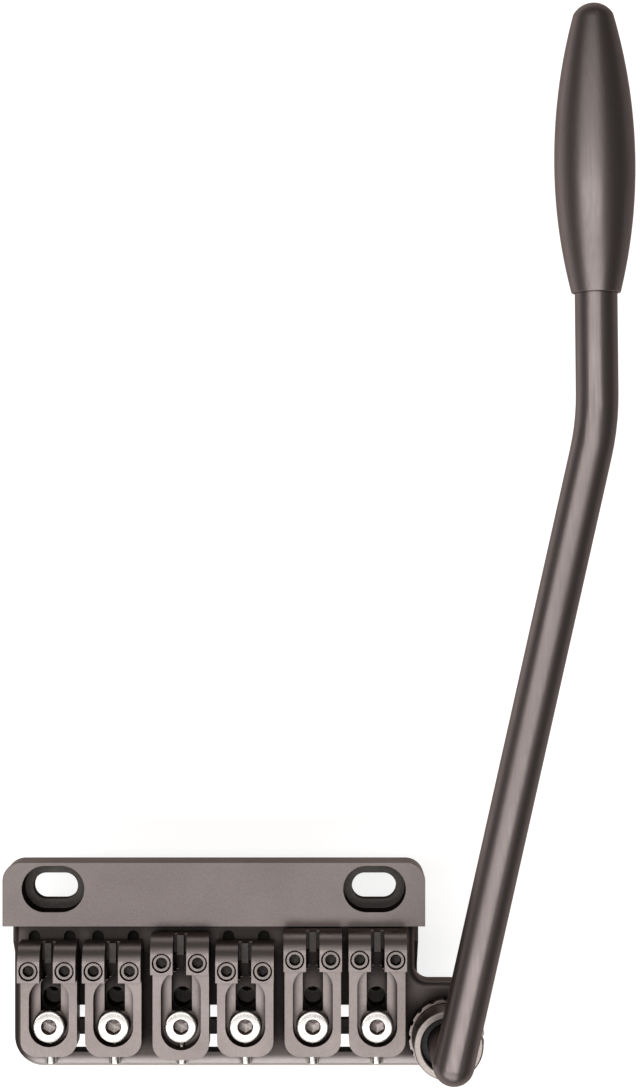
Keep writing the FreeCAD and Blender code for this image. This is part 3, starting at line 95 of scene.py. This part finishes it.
# Satin plated metal: fine blasting shows as a speckle, plating as a slow drift of tone
satinFinishes = {
    "blastedGunmetal": {      # zinc casting, bead blasted, then black nickel plated
        "pale": "#6f6764", "deep": "#665e5c", "edgeTint": "#a49b98", "roughness": 0.4,
        "speckle": 0.35, "drift": 16.0, "bump": 0.10, "streak": None,
    },
    "blastedSteel": {         # milled saddles under the same plating, set a shade lighter as painted light, their own inside corners darkened with painted shade
        "pale": "#837a77", "deep": "#79706d", "edgeTint": "#9a918e", "roughness": 0.38,
        "speckle": 0.30, "drift": 9.0, "bump": 0.08, "streak": None, "cornerReach": 1.1, "ownCorners": True,
    },
    "platedPlate": {          # the plate, plated, its colour set darker as painted shade, shade from neighbouring parts painted into its corners, and a painted highlight along its rear rim
        "pale": "#564f4d", "deep": "#4d4745", "edgeTint": "#a49b98", "roughness": 0.4,
        "speckle": 0.30, "drift": 12.0, "bump": 0.08, "streak": None, "cornerReach": 3.0, "ownCorners": False,
        "rimHighlight": {"colour": "#cfc6c2", "from": -26.9, "to": -29.2, "low": 3.2, "high": 4.2},
    },
    "satinRod": {             # drawn steel rod, polished along its length and plated
        "pale": "#7d7472", "deep": "#746b69", "edgeTint": "#b4aba8", "roughness": 0.37,
        "speckle": 0.30, "drift": 20.0, "bump": 0.04, "streak": (0.30, 9.0),
    },
    "turnedSteel": {          # turned collar and rings, left brighter at the lathe
        "pale": "#988f8b", "deep": "#887f7b", "edgeTint": "#9a918e", "roughness": 0.34,
        "speckle": 0.25, "drift": 4.0, "bump": 0.05, "streak": None,
    },
    "phosphateAndShade": {      # block, rails and bar, blackened in a phosphate bath: a dry dark grey, also used as painted shade in recesses and screw keys
        "pale": "#484442", "deep": "#3b3836", "edgeTint": "#5a5654", "roughness": 0.5,
        "speckle": 0.40, "drift": 7.0, "bump": 0.10, "streak": None,
    },
    "grooveShade": {         # painted shade: near black, for the plate's grooves
        "pale": "#2a2725", "deep": "#1f1d1c", "edgeTint": "#3a3634", "roughness": 0.55,
        "speckle": 0.40, "drift": 5.0, "bump": 0.08, "streak": None,
    },
    "blackenedScrew": {       # hardened set screws, heat blackened and oiled
        "pale": "#7b7370", "deep": "#68615e", "edgeTint": "#857d7a", "roughness": 0.28,
        "speckle": 0.20, "drift": 1.5, "bump": 0.04, "streak": None,
    },
    "plainSteel": {           # zinc plated steel under the plate
        "pale": "#8d8a86", "deep": "#7c7975", "edgeTint": "#9a9794", "roughness": 0.36,
        "speckle": 0.30, "drift": 6.0, "bump": 0.06, "streak": None,
    },
    "springWire": {           # oil tempered wire, a smooth blue grey
        "pale": "#6d6c6e", "deep": "#5c5b5e", "edgeTint": "#8a8886", "roughness": 0.28,
        "speckle": 0.25, "drift": 3.0, "bump": 0.04, "streak": None,
    },
    "polishedSteel": {        # hardened screws, polished bright
        "pale": "#c9c4c0", "deep": "#c1bcb8", "edgeTint": "#b8b3b0", "roughness": 0.26,
        "speckle": 0.12, "drift": 3.0, "bump": 0.01, "streak": None,
    },
    "turnedBronze": {         # hinge bushes, bored and turned
        "pale": "#c79a5c", "deep": "#a87e45", "edgeTint": "#94764a", "roughness": 0.34,
        "speckle": 0.30, "drift": 4.0, "bump": 0.06, "streak": None,
    },
}

# How the two noises become tone and gloss, and how far inside corners go dark with painted shade
satinLook = {"deepAt": 0.36, "paleAt": 0.64, "roughAt": 0.35, "smoothAt": 0.65, "swing": 0.05}
cornerShade = {"darkAt": 0.45, "clearAt": 0.95, "darkest": 0.12, "samples": 8}
mixFactor, mixFirst, mixSecond, mixColour = 0, 6, 7, 2      # a colour mix's sockets, whose names repeat
reliefDepth = 0.05 * mm


def satinMetal(name):
    finish = satinFinishes[name]
    material = bpy.data.materials.new(name)
    material.use_nodes = True
    tree = material.node_tree
    tree.nodes.clear()
    place = addNode(tree, "ShaderNodeTexCoord").outputs["Object"]
    if finish["streak"]:
        across, along = finish["streak"]
        turn = addNode(tree, "ShaderNodeMapping", {"vector_type": "POINT"}, {
            "Vector": place,
            "Scale": (grainPerMetre(across), grainPerMetre(along), grainPerMetre(across)),
        })
        fine = addNode(tree, "ShaderNodeTexNoise", None, {
            "Vector": turn.outputs["Vector"], "Scale": 1.0, "Detail": 3.0, "Roughness": 0.6,
        })
    else:
        fine = addNode(tree, "ShaderNodeTexNoise", None, {
            "Vector": place, "Scale": grainPerMetre(finish["speckle"]), "Detail": 3.0, "Roughness": 0.65,
        })
    slow = addNode(tree, "ShaderNodeTexNoise", None, {
        "Vector": place, "Scale": grainPerMetre(finish["drift"]), "Detail": 4.0, "Roughness": 0.55,
    })
    blend = addNode(tree, "ShaderNodeMix", {"data_type": "FLOAT"}, {
        "Factor": 0.5, "A": fine.outputs["Fac"], "B": slow.outputs["Fac"],
    })
    tone = addNode(tree, "ShaderNodeValToRGB", None, {"Fac": blend.outputs["Result"]})
    tone.color_ramp.elements[0].position = satinLook["deepAt"]
    tone.color_ramp.elements[0].color = linearColour(finish["deep"])
    tone.color_ramp.elements[1].position = satinLook["paleAt"]
    tone.color_ramp.elements[1].color = linearColour(finish["pale"])
    colour = tone.outputs["Color"]
    # Painted shade: ambient occlusion darkens the colour in inside corners, and under and between parts where
    # neighbours count
    if "cornerReach" in finish:
        corner = addNode(tree, "ShaderNodeAmbientOcclusion", {
            "only_local": finish["ownCorners"], "samples": cornerShade["samples"],
        }, {"Color": (1, 1, 1, 1), "Distance": finish["cornerReach"] * mm})
        paintedCornerShade = addNode(tree, "ShaderNodeMapRange", None, {
            "Value": corner.outputs["AO"], "From Min": cornerShade["darkAt"], "From Max": cornerShade["clearAt"],
            "To Min": cornerShade["darkest"], "To Max": 1.0,
        })
        shade = addNode(tree, "ShaderNodeMix", {"data_type": "RGBA", "blend_type": "MULTIPLY"}, {
            mixFactor: 1.0, mixFirst: colour, mixSecond: paintedCornerShade.outputs["Result"],
        })
        colour = shade.outputs[mixColour]
    # Painted highlight: a pale band along the top of the plate's rear rim
    if "rimHighlight" in finish:
        rimHighlight = finish["rimHighlight"]
        spot = addNode(tree, "ShaderNodeSeparateXYZ", None, {"Vector": place})
        towardsTop = addNode(tree, "ShaderNodeMapRange", {"interpolation_type": "SMOOTHSTEP"}, {
            "Value": spot.outputs["Z"], "From Min": rimHighlight["low"] * mm, "From Max": rimHighlight["high"] * mm,
        })
        rimHighlightShare = addNode(tree, "ShaderNodeMapRange", {"interpolation_type": "SMOOTHSTEP"}, {
            "Value": spot.outputs["Y"], "From Min": rimHighlight["from"] * mm, "From Max": rimHighlight["to"] * mm,
            "To Max": towardsTop.outputs["Result"],
        })
        rimHighlighted = addNode(tree, "ShaderNodeMix", {"data_type": "RGBA"}, {
            mixFactor: rimHighlightShare.outputs["Result"], mixFirst: colour, mixSecond: linearColour(rimHighlight["colour"]),
        })
        colour = rimHighlighted.outputs[mixColour]
    sheen = addNode(tree, "ShaderNodeMapRange", None, {
        "Value": blend.outputs["Result"], "From Min": satinLook["roughAt"], "From Max": satinLook["smoothAt"],
        "To Min": finish["roughness"] + satinLook["swing"], "To Max": finish["roughness"] - satinLook["swing"],
    })
    relief = addNode(tree, "ShaderNodeBump", None, {
        "Strength": finish["bump"], "Distance": reliefDepth, "Height": fine.outputs["Fac"],
    })
    shader = addNode(tree, "ShaderNodeBsdfPrincipled", None, {
        "Base Color": colour, "Metallic": 1.0, "Roughness": sheen.outputs["Result"],
        "Specular Tint": linearColour(finish["edgeTint"]), "Normal": relief.outputs["Normal"],
    })
    addNode(tree, "ShaderNodeOutputMaterial", None, {"Surface": shader.outputs["BSDF"]})
    return material


# Black nylon: moulded, so a faint orange peel under a soft shine
nylonFinish = {"colour": "#141414", "rimHighlighted": "#232323", "roughness": 0.5, "peel": 0.6}


def mouldedNylon():
    material = bpy.data.materials.new("mouldedNylon")
    material.use_nodes = True
    tree = material.node_tree
    tree.nodes.clear()
    place = addNode(tree, "ShaderNodeTexCoord").outputs["Object"]
    peel = addNode(tree, "ShaderNodeTexNoise", None, {
        "Vector": place, "Scale": grainPerMetre(nylonFinish["peel"]), "Detail": 2.0,
    })
    tone = addNode(tree, "ShaderNodeValToRGB", None, {"Fac": peel.outputs["Fac"]})
    tone.color_ramp.elements[0].position = 0.4
    tone.color_ramp.elements[0].color = linearColour(nylonFinish["colour"])
    tone.color_ramp.elements[1].position = 0.7
    tone.color_ramp.elements[1].color = linearColour(nylonFinish["rimHighlighted"])
    relief = addNode(tree, "ShaderNodeBump", None, {
        "Strength": 0.15, "Distance": reliefDepth, "Height": peel.outputs["Fac"],
    })
    shader = addNode(tree, "ShaderNodeBsdfPrincipled", None, {
        "Base Color": tone.outputs["Color"], "Roughness": nylonFinish["roughness"], "IOR": 1.53,
        "Normal": relief.outputs["Normal"],
    })
    addNode(tree, "ShaderNodeOutputMaterial", None, {"Surface": shader.outputs["BSDF"]})
    return material


finishes = {name: satinMetal(name) for name in satinFinishes}
finishes["mouldedNylon"] = mouldedNylon()
print("finishes made:", len(finishes))


def placePiece(name, shape, body, nodes, finish, smoothAngle=35, shadeFinish=None):
    mesh = bpy.data.meshes.new(name)
    shape.to_mesh(mesh)
    shape.free()
    mesh.materials.append(finishes[finish])
    if shadeFinish:
        mesh.materials.append(finishes[shadeFinish])      # for faces that were given the second index, a painted shade
    piece = bpy.data.objects.new(name, mesh)
    bpy.context.scene.collection.objects.link(piece)
    mesh.set_sharp_from_angle(angle=math.radians(smoothAngle))
    for face in mesh.polygons:
        face.use_smooth = True
    if body:
        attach(piece, body)
    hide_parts(*nodes)
    return piece


edgeSettings = {"segments": 3, "sharpFrom": 34, "merge": 0.002, "flatWithin": 0.6}      # degrees and mm


def softEdges(piece, width):
    bevel = piece.modifiers.new("brokenEdges", "BEVEL")
    bevel.width = width * mm
    bevel.segments = edgeSettings["segments"]
    bevel.limit_method = "ANGLE"
    bevel.angle_limit = math.radians(edgeSettings["sharpFrom"])
    bevel.profile = 0.5
    bevel.miter_outer = "MITER_ARC"
    shading = piece.modifiers.new("evenShading", "WEIGHTED_NORMAL")      # flats stay flat next to fillets
    shading.keep_sharp = True


def mergedCopy(nodeName):
    shape = bmesh.new()
    shape.from_mesh(frame["nodes"][nodeName].data)
    bmesh.ops.remove_doubles(shape, verts=shape.verts, dist=edgeSettings["merge"] * mm)
    flat = math.radians(edgeSettings["flatWithin"])
    bmesh.ops.dissolve_limit(shape, angle_limit=flat, verts=shape.verts, edges=shape.edges)
    return shape


# Painted shade: faces in the flange's counterbores, the plate's grooves and the saddles' slots get a dark second
# finish
recess = {
    "boreReachX": 5.2, "boreReachY": 3.9, "boreDepth": 0.5, "boreFloor": 0.1,
    "grooveFront": -6.8, "grooveRear": -15.4, "grooveReach": 30.2, "grooveTop": 0.35, "grooveFloor": 2.1,
    "slotReach": 1.8, "slotHeight": 2.2, "wallTilt": 0.3, "restReach": 0.6, "restLow": 5.8, "restHigh": 6.4,
}


def inCounterbore(face, low, high):
    mount = [entry for entry in frame["record"]["mounts"] if entry["name"] == "mounting_slots"][0]
    x, y, z = face.calc_center_median() / mm
    inX = abs(abs(x) - mount["dims"]["spacing_x_mm"] / 2) < recess["boreReachX"]
    return inX and abs(y) < recess["boreReachY"] and recess["boreFloor"] < z < high[2] / mm - recess["boreDepth"]


def inGroove(face, low, high):
    x, y, z = face.calc_center_median() / mm
    inPlan = abs(x) < recess["grooveReach"] and recess["grooveRear"] < y < recess["grooveFront"]
    return inPlan and recess["grooveTop"] < high[2] / mm - z < recess["grooveFloor"]


def inSaddleSlot(face, low, high):
    spot = face.calc_center_median()
    offset = abs(spot.x - (low[0] + high[0]) / 2) / mm
    height = (spot.z - low[2]) / mm
    upright = abs(face.normal.z) < recess["wallTilt"]
    inSlot = upright and offset < recess["slotReach"] and height < recess["slotHeight"]
    onRest = offset < recess["restReach"] and recess["restLow"] < height < recess["restHigh"]
    return inSlot or onRest


def paintRecessShade(shape, nodeName, inRecess):
    low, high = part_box(nodeName)
    for face in shape.faces:
        face.material_index = 1 if inRecess(face, low, high) else 0


# Machined and cast pieces, each with its sharp edges broken
machinedPieces = {
    "mounting_flange": {"body": "base", "slot": "satin_grey", "finish": "blastedGunmetal", "edge": 0.35},
    "tremolo_plate": {"body": "tremolo", "slot": "satin_grey", "finish": "platedPlate", "edge": 0.25},
    "string_block": {"body": "tremolo", "slot": "dark_steel", "finish": "phosphateAndShade", "edge": 0.2},
    "arm_socket": {"body": "tremolo", "slot": "satin_grey", "finish": "turnedSteel", "edge": 0.25},
    "socket_nut": {"body": "tremolo", "slot": "plain_steel", "finish": "plainSteel", "edge": 0.2},
    "arm_bush": {"body": "tremolo", "slot": "dark_nylon", "finish": "mouldedNylon", "edge": 0.12},
    "block_screws": {"body": "tremolo", "slot": "plain_steel", "finish": "plainSteel", "edge": 0.1},
    "tension_ring": {"body": "tension_ring", "slot": "satin_grey", "finish": "turnedSteel", "edge": 0.12},
    "pivot_axle": {"body": "base", "slot": "plain_steel", "finish": "plainSteel", "edge": 0.15},
    "spring_bar": {"body": "base", "slot": "dark_steel", "finish": "phosphateAndShade", "edge": 0.25},
    "spring_cups": {"body": "base", "slot": "plain_steel", "finish": "plainSteel", "edge": 0.1},
    "spring_bar_screws": {"body": "base", "slot": "plain_steel", "finish": "plainSteel", "edge": 0.1},
    "spring_tension_screws": {"body": "base", "slot": "plain_steel", "finish": "plainSteel", "edge": 0.15},
    "rail_screws": {"body": "base", "slot": "plain_steel", "finish": "plainSteel", "edge": 0.1},
    "axle_block_screws": {"body": "base", "slot": "plain_steel", "finish": "plainSteel", "edge": 0.08},
    "arm_clip": {"body": "arm", "slot": "plain_steel", "finish": "springWire", "edge": 0.06},
    "tremolo_arm": {"body": "arm", "slot": "arm_grey", "finish": "satinRod", "edge": 0.1},
    "arm_tip": {"body": "arm", "slot": "arm_grey", "finish": "satinRod", "edge": 0.15},
}
for sideName in sideNames:
    machinedPieces[f"axle_block_{sideName}"] = {
        "body": "base", "slot": "plain_steel", "finish": "plainSteel", "edge": 0.15,
    }
    machinedPieces[f"side_rail_{sideName}"] = {
        "body": "base", "slot": "dark_steel", "finish": "phosphateAndShade", "edge": 0.25,
    }
    machinedPieces[f"pivot_bush_{sideName}"] = {
        "body": "tremolo", "slot": "brass", "finish": "turnedBronze", "edge": 0.1,
    }
for string in stringNames:
    machinedPieces[f"saddle_{string}"] = {
        "body": f"saddle_{string}", "slot": "saddle_grey", "finish": "blastedSteel", "edge": 0.22,
    }
recessShades = {
    "mounting_flange": (inCounterbore, "phosphateAndShade"), "tremolo_plate": (inGroove, "grooveShade"),
}
for string in stringNames:
    recessShades[f"saddle_{string}"] = (inSaddleSlot, "phosphateAndShade")
for nodeName, settings in machinedPieces.items():
    shape = mergedCopy(nodeName)
    inRecess, shadeFinish = recessShades.get(nodeName, (None, None))
    if inRecess:
        paintRecessShade(shape, nodeName, inRecess)
    piece = placePiece(
        f"{nodeName}_soft", shape, settings["body"], [nodeName], settings["finish"],
        shadeFinish=shadeFinish,
    )
    softEdges(piece, settings["edge"])
print("machined pieces:", len(machinedPieces))


def turnedScrew(rings, sections=36):
    # Each ring is a radius, a height and a form: None is round, "hex" a key, and a number a thread's pitch
    shape = bmesh.new()
    bmesh.ops.create_circle(shape, segments=sections, radius=1, cap_ends=True)
    for number, (radius, height, form) in enumerate(rings):
        rim = [edge for edge in shape.edges if edge.is_boundary]
        loop = list(shape.verts)
        if number:
            made = bmesh.ops.extrude_edge_only(shape, edges=rim)["geom"]
            loop = [item for item in made if isinstance(item, bmesh.types.BMVert)]
        for vert in loop:
            angle = math.atan2(vert.co.y, vert.co.x)
            reach = radius
            if form == "hex":
                reach = radius / math.cos((angle + math.pi / 6) % (math.pi / 3) - math.pi / 6)
            elif form:
                turnShare = (height / form + angle / (2 * math.pi)) % 1
                reach = radius - abs(2 * turnShare - 1) * form * 0.5      # a plain sharp V
            vert.co = (reach * math.cos(angle), reach * math.sin(angle), height)
    lastRim = [edge for edge in shape.edges if edge.is_boundary]
    bmesh.ops.contextual_create(shape, geom=lastRim)
    bmesh.ops.recalc_face_normals(shape, faces=shape.faces)
    bmesh.ops.scale(shape, verts=shape.verts, vec=(mm, mm, mm))
    return shape


def threadRings(radius, pitch, start, end):
    steps = max(2, round(abs(end - start) / pitch * 8))
    return [(radius, start + (end - start) * i / steps, pitch) for i in range(steps + 1)]


def keyRings(key, depth, mouth, top):
    # From the drill point at the key's floor up to a chamfered mouth
    half = key / 2
    return [
        (0.05, top - depth - 0.4 * half, None), (half, top - depth, "hex"),
        (half, top - mouth, "hex"), (half * 1.155 + mouth * 0.3, top, None),
    ]


def paintKeyShade(shape, settings, top):
    # The key's inside, below its mouth, gets the second finish, a darker one as painted shade
    cornerReach = settings["key"] * 0.57
    for face in shape.faces:
        spot = face.calc_center_median() / mm
        deep = top - settings["keyDepth"] - settings["key"] < spot.z < top - settings["mouth"] / 2
        face.material_index = 1 if deep and math.hypot(spot.x, spot.y) < cornerReach else 0


def joinShapes(shapes):
    whole = bmesh.new()
    for shape in shapes:
        part = bpy.data.meshes.new("part")
        shape.to_mesh(part)
        shape.free()
        whole.from_mesh(part)
        bpy.data.meshes.remove(part)
    return whole


# Six socket head screws that clamp the saddles
clampScrew = {
    "headRadius": 2.66, "headHeight": 2.7, "rimRound": 0.45, "key": 2.1, "keyDepth": 1.8, "mouth": 0.2,
    "underChamfer": 0.12, "shankRadius": 1.5, "endChamfer": 0.4,
}


def clampScrewShape(x, y, bottom, top):
    s = clampScrew
    under = top - s["headHeight"]
    corner = [
        (s["headRadius"] - s["rimRound"] * (1 - math.sin(a)), top - s["rimRound"] * (1 - math.cos(a)), None)
        for a in (0, math.pi / 8, math.pi / 4, math.pi * 3 / 8, math.pi / 2)
    ]
    rings = keyRings(s["key"], s["keyDepth"], s["mouth"], top) + corner + [
        (s["headRadius"], under + s["underChamfer"], None), (s["headRadius"] - s["underChamfer"], under, None),
        (s["shankRadius"], under, None), (s["shankRadius"], bottom + s["endChamfer"], None),
        (s["shankRadius"] - s["endChamfer"], bottom, None),
    ]
    shape = turnedScrew(rings, sections=48)
    paintKeyShade(shape, s, top)
    bmesh.ops.translate(shape, verts=shape.verts, vec=(x, y, 0))
    return shape


low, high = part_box("clamp_screws")
clampShapes = []
for string in stringNames:
    saddleLow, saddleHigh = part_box(f"saddle_{string}")
    middle = (saddleLow[0] + saddleHigh[0]) / 2
    clampShapes.append(clampScrewShape(middle, (low[1] + high[1]) / 2, low[2] / mm, high[2] / mm))
# Painted shade: the keys' insides take the darker turned finish
placePiece(
    "clamp_screws_turned", joinShapes(clampShapes), "tremolo", ["clamp_screws"],
    "polishedSteel", smoothAngle=24, shadeFinish="turnedSteel",
)
print("clamp screws:", len(clampShapes))

# Two set screws a saddle: hexagon key, threaded, ground to a point
heightScrew = {
    "rim": 0.22, "key": 1.5, "keyDepth": 1.6, "mouth": 0.15, "pitch": 0.5, "pointRadius": 0.76,
    "pointLength": 2.2, "pointChamfer": 0.2, "plainLength": 0.6, "threadLead": 0.1, "footGap": 0.03,
}


def heightScrewShape(x, y, radius, bottom, top):
    s = heightScrew
    shoulder = bottom + s["pointLength"]
    taper = radius - s["pointRadius"]
    rings = keyRings(s["key"], s["keyDepth"], s["mouth"], top) + [
        (radius - s["rim"], top, None), (radius, top - s["rim"], None), (radius, top - s["plainLength"], None),
    ]
    rings += threadRings(radius, s["pitch"], top - s["plainLength"] - s["threadLead"], shoulder + taper)
    rings += [
        (s["pointRadius"], shoulder, None), (s["pointRadius"], bottom + s["pointChamfer"], None),
        (s["pointRadius"] - s["pointChamfer"], bottom, None),
    ]
    shape = turnedScrew(rings)
    paintKeyShade(shape, s, top)
    bmesh.ops.translate(shape, verts=shape.verts, vec=(x, y, 0))
    return shape


for string in stringNames:
    nodeName = f"height_screws_{string}"
    low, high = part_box(nodeName)
    radius = (high[1] - low[1]) / 2
    pair = [
        heightScrewShape(x, (low[1] + high[1]) / 2, radius / mm, low[2] / mm + heightScrew["footGap"], high[2] / mm)
        for x in (low[0] + radius, high[0] - radius)
    ]
    # Painted shade: the keys' insides take the dark phosphate finish
    placePiece(
        f"{nodeName}_turned", joinShapes(pair), nodeName, [nodeName], "blackenedScrew",
        smoothAngle=24, shadeFinish="phosphateAndShade",
    )
print("height screws:", 2 * len(stringNames))

# One intonation screw a saddle, threaded but for a plain length at its key end, its key towards the tail
intonationScrew = {
    "rim": 0.2, "key": 1.3, "keyDepth": 1.0, "mouth": 0.12, "pitch": 0.4, "plainLength": 2.4, "threadLead": 0.1,
    "endChamfer": 0.3,
}
for string in stringNames:
    nodeName = f"intonation_screw_{string}"
    s = intonationScrew
    low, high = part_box(nodeName)
    radius = (high[0] - low[0]) / 2 / mm
    length = (high[1] - low[1]) / mm
    rings = keyRings(s["key"], s["keyDepth"], s["mouth"], length) + [
        (radius - s["rim"], length, None), (radius, length - s["rim"], None),
        (radius, length - s["plainLength"], None),
    ]
    rings += threadRings(radius, s["pitch"], length - s["plainLength"] - s["threadLead"], s["endChamfer"])
    rings += [(radius - s["endChamfer"], 0, None)]
    shape = turnedScrew(rings)
    turn = Matrix.Rotation(math.pi / 2, 4, "X")      # the key's end now looks to the rear
    place = Matrix.Translation(((low[0] + high[0]) / 2, high[1], (low[2] + high[2]) / 2))
    bmesh.ops.transform(shape, matrix=place @ turn, verts=shape.verts)
    placePiece(
        f"{nodeName}_turned", shape, f"saddle_{string}", [nodeName], "polishedSteel",
        smoothAngle=24,
    )
print("intonation screws:", len(stringNames))

# Return springs, wound from wire, with closed ends
returnSpring = {
    "wire": 1.1, "turns": 4.5, "closedTurn": 0.5, "closedPitch": 0.35, "stepsPerTurn": 40, "slack": 0.3,
    "bendShare": 0.6,
}


def woundSpring(low, high):
    s = returnSpring
    wire = s["wire"] * mm
    coilRadius = (high[0] - low[0]) / 2 - wire / 2 - s["slack"] * mm      # clear of its well as the plate tips
    closedRise = s["closedTurn"] * s["closedPitch"] * mm
    openTurns = s["turns"] - 2 * s["closedTurn"]
    openRise = high[1] - low[1] - wire - 2 * closedRise
    shape = bmesh.new()
    bmesh.ops.create_circle(shape, segments=18, radius=wire / 2, cap_ends=True)
    bmesh.ops.translate(shape, verts=shape.verts, vec=(coilRadius, low[1] + wire / 2, 0))
    sweep = list(shape.verts) + list(shape.edges)
    for turns, rise in ((s["closedTurn"], closedRise), (openTurns, openRise), (s["closedTurn"], closedRise)):
        steps = round(turns * s["stepsPerTurn"])
        made = bmesh.ops.spin(
            shape, geom=sweep, cent=(0, 0, 0), axis=(0, 1, 0), dvec=(0, rise / steps, 0),
            angle=turns * 2 * math.pi, steps=steps, use_merge=False,
        )
        sweep = [item for item in made["geom_last"] if not isinstance(item, bmesh.types.BMFace)]
    bmesh.ops.contextual_create(shape, geom=[item for item in sweep if isinstance(item, bmesh.types.BMEdge)])
    bmesh.ops.recalc_face_normals(shape, faces=shape.faces)
    middle = ((low[0] + high[0]) / 2, 0, (low[2] + high[2]) / 2)
    bmesh.ops.translate(shape, verts=shape.verts, vec=middle)
    return shape


for sideName in sideNames:
    nodeName = f"spring_{sideName}"
    low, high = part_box(nodeName)
    spring = placePiece(
        f"{nodeName}_wound", woundSpring(low, high), None, [nodeName], "springWire"
    )
    middle = ((low[0] + high[0]) / 2, (low[2] + high[2]) / 2)
    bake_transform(spring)
print("return springs:", len(sideNames))

# Floor: a white pool of painted light round the object, glowing for the camera and seen in metal too, that fades to
# a grey glow
floorSettings = {
    "size": 8.0, "middle": (0.017, 0.055), "narrow": 2.0, "drop": 1.0, "colour": "#b4b2b0",
    "whiteReach": 0.11, "seenReach": 1.6, "mirrorReach": 0.34, "whiteGlow": 0.78, "greyGlow": 0.12,
}
floorShape = bmesh.new()
bmesh.ops.create_grid(floorShape, x_segments=1, y_segments=1, size=floorSettings["size"] / 2)
floorX, floorY = floorSettings["middle"]
floorZ = cadBounds[0][2] - floorSettings["drop"] * mm
bmesh.ops.translate(floorShape, verts=floorShape.verts, vec=(floorX, floorY, floorZ))
floorMesh = bpy.data.meshes.new("floor")
floorShape.to_mesh(floorMesh)
floorShape.free()
floor = bpy.data.objects.new("floor", floorMesh)
bpy.context.scene.collection.objects.link(floor)


def studioPaper():
    s = floorSettings
    material = bpy.data.materials.new("studioPaper")
    material.use_nodes = True
    tree = material.node_tree
    tree.nodes.clear()
    rays = addNode(tree, "ShaderNodeLightPath")
    mirrored = addNode(tree, "ShaderNodeMath", {"operation": "MAXIMUM"}, {
        0: rays.outputs["Is Glossy Ray"], 1: rays.outputs["Is Transmission Ray"],
    })
    middle = addNode(tree, "ShaderNodeMapping", {"vector_type": "POINT"}, {
        "Vector": addNode(tree, "ShaderNodeTexCoord").outputs["Object"], "Scale": (s["narrow"], 1, 1),
        "Location": (-floorX * s["narrow"], -floorY, -floorZ),
    })
    distance = addNode(tree, "ShaderNodeVectorMath", {"operation": "LENGTH"}, {0: middle.outputs["Vector"]})
    shares = []
    seen = rays.outputs["Is Camera Ray"]
    # Painted light: the floor glows brightest in a pool round the object, for camera rays and for mirrored rays
    for ray, reach in ((seen, s["seenReach"]), (mirrored.outputs["Value"], s["mirrorReach"])):
        pool = addNode(tree, "ShaderNodeMapRange", {"interpolation_type": "SMOOTHSTEP"}, {
            "Value": distance.outputs["Value"], "From Min": s["whiteReach"], "From Max": reach,
            "To Min": s["whiteGlow"], "To Max": s["greyGlow"],
        })
        share = addNode(tree, "ShaderNodeMath", {"operation": "MULTIPLY"}, {0: ray, 1: pool.outputs["Result"]})
        shares.append(share.outputs["Value"])
    glow = addNode(tree, "ShaderNodeMath", {"operation": "ADD"}, {0: shares[0], 1: shares[1]})
    paper = addNode(tree, "ShaderNodeBsdfPrincipled", None, {
        "Base Color": linearColour(s["colour"]), "Roughness": 0.9, "Specular IOR Level": 0.0,
        "Emission Color": (1, 1, 1, 1), "Emission Strength": glow.outputs["Value"],
    })
    addNode(tree, "ShaderNodeOutputMaterial", None, {"Surface": paper.outputs["BSDF"]})
    return material


floorMesh.materials.append(studioPaper())

# Soft studio light
lamps = {
    "rearBox": {"place": (-0.165, -0.255, 0.75), "tilt": 0, "size": (1.17, 0.23), "watts": 3.2},
    "middleBox": {"place": (-0.3, 0.11, 0.75), "tilt": 0, "size": (1.0, 0.18), "watts": 2.4},
    "frontBox": {"place": (-0.25, 0.525, 0.75), "tilt": 0, "size": (1.0, 0.45), "watts": 1.5},
    "rearPanel": {"place": (-0.3, -0.62, 0.42), "tilt": 52, "size": (1.0, 0.5), "watts": 2.8},
}
for name, settings in lamps.items():
    light = bpy.data.lights.new(name, "AREA")
    light.shape = "RECTANGLE"
    light.size, light.size_y = settings["size"]
    light.energy = settings["watts"]
    lamp = bpy.data.objects.new(name, light)
    bpy.context.scene.collection.objects.link(lamp)
    lamp.location = settings["place"]
    lamp.rotation_euler = (math.radians(settings["tilt"]), 0, 0)      # 0 looks straight down

worldSettings = {"colour": "#c4c0bd", "strength": 0.25}
world = bpy.data.worlds.new("studio")
bpy.context.scene.world = world
world.use_nodes = True
world.node_tree.nodes.clear()
sky = addNode(world.node_tree, "ShaderNodeBackground", None, {
    "Color": linearColour(worldSettings["colour"]), "Strength": worldSettings["strength"],
})
addNode(world.node_tree, "ShaderNodeOutputWorld", None, {"Surface": sky.outputs["Background"]})

# Camera straight above, as the photograph was taken
cameraSettings = {"place": (0.0171, 0.0555, 0.408), "lens": 82.4, "sensor": 36.0}
camera = bpy.data.objects.new("camera", bpy.data.cameras.new("camera"))
bpy.context.scene.collection.objects.link(camera)
camera.location = cameraSettings["place"]
camera.data.lens = cameraSettings["lens"]
camera.data.sensor_width = cameraSettings["sensor"]
camera.data.clip_start = 0.01
bpy.context.scene.camera = camera
bpy.context.scene.view_settings.view_transform = "Standard"
print("stage, lamps and camera placed")
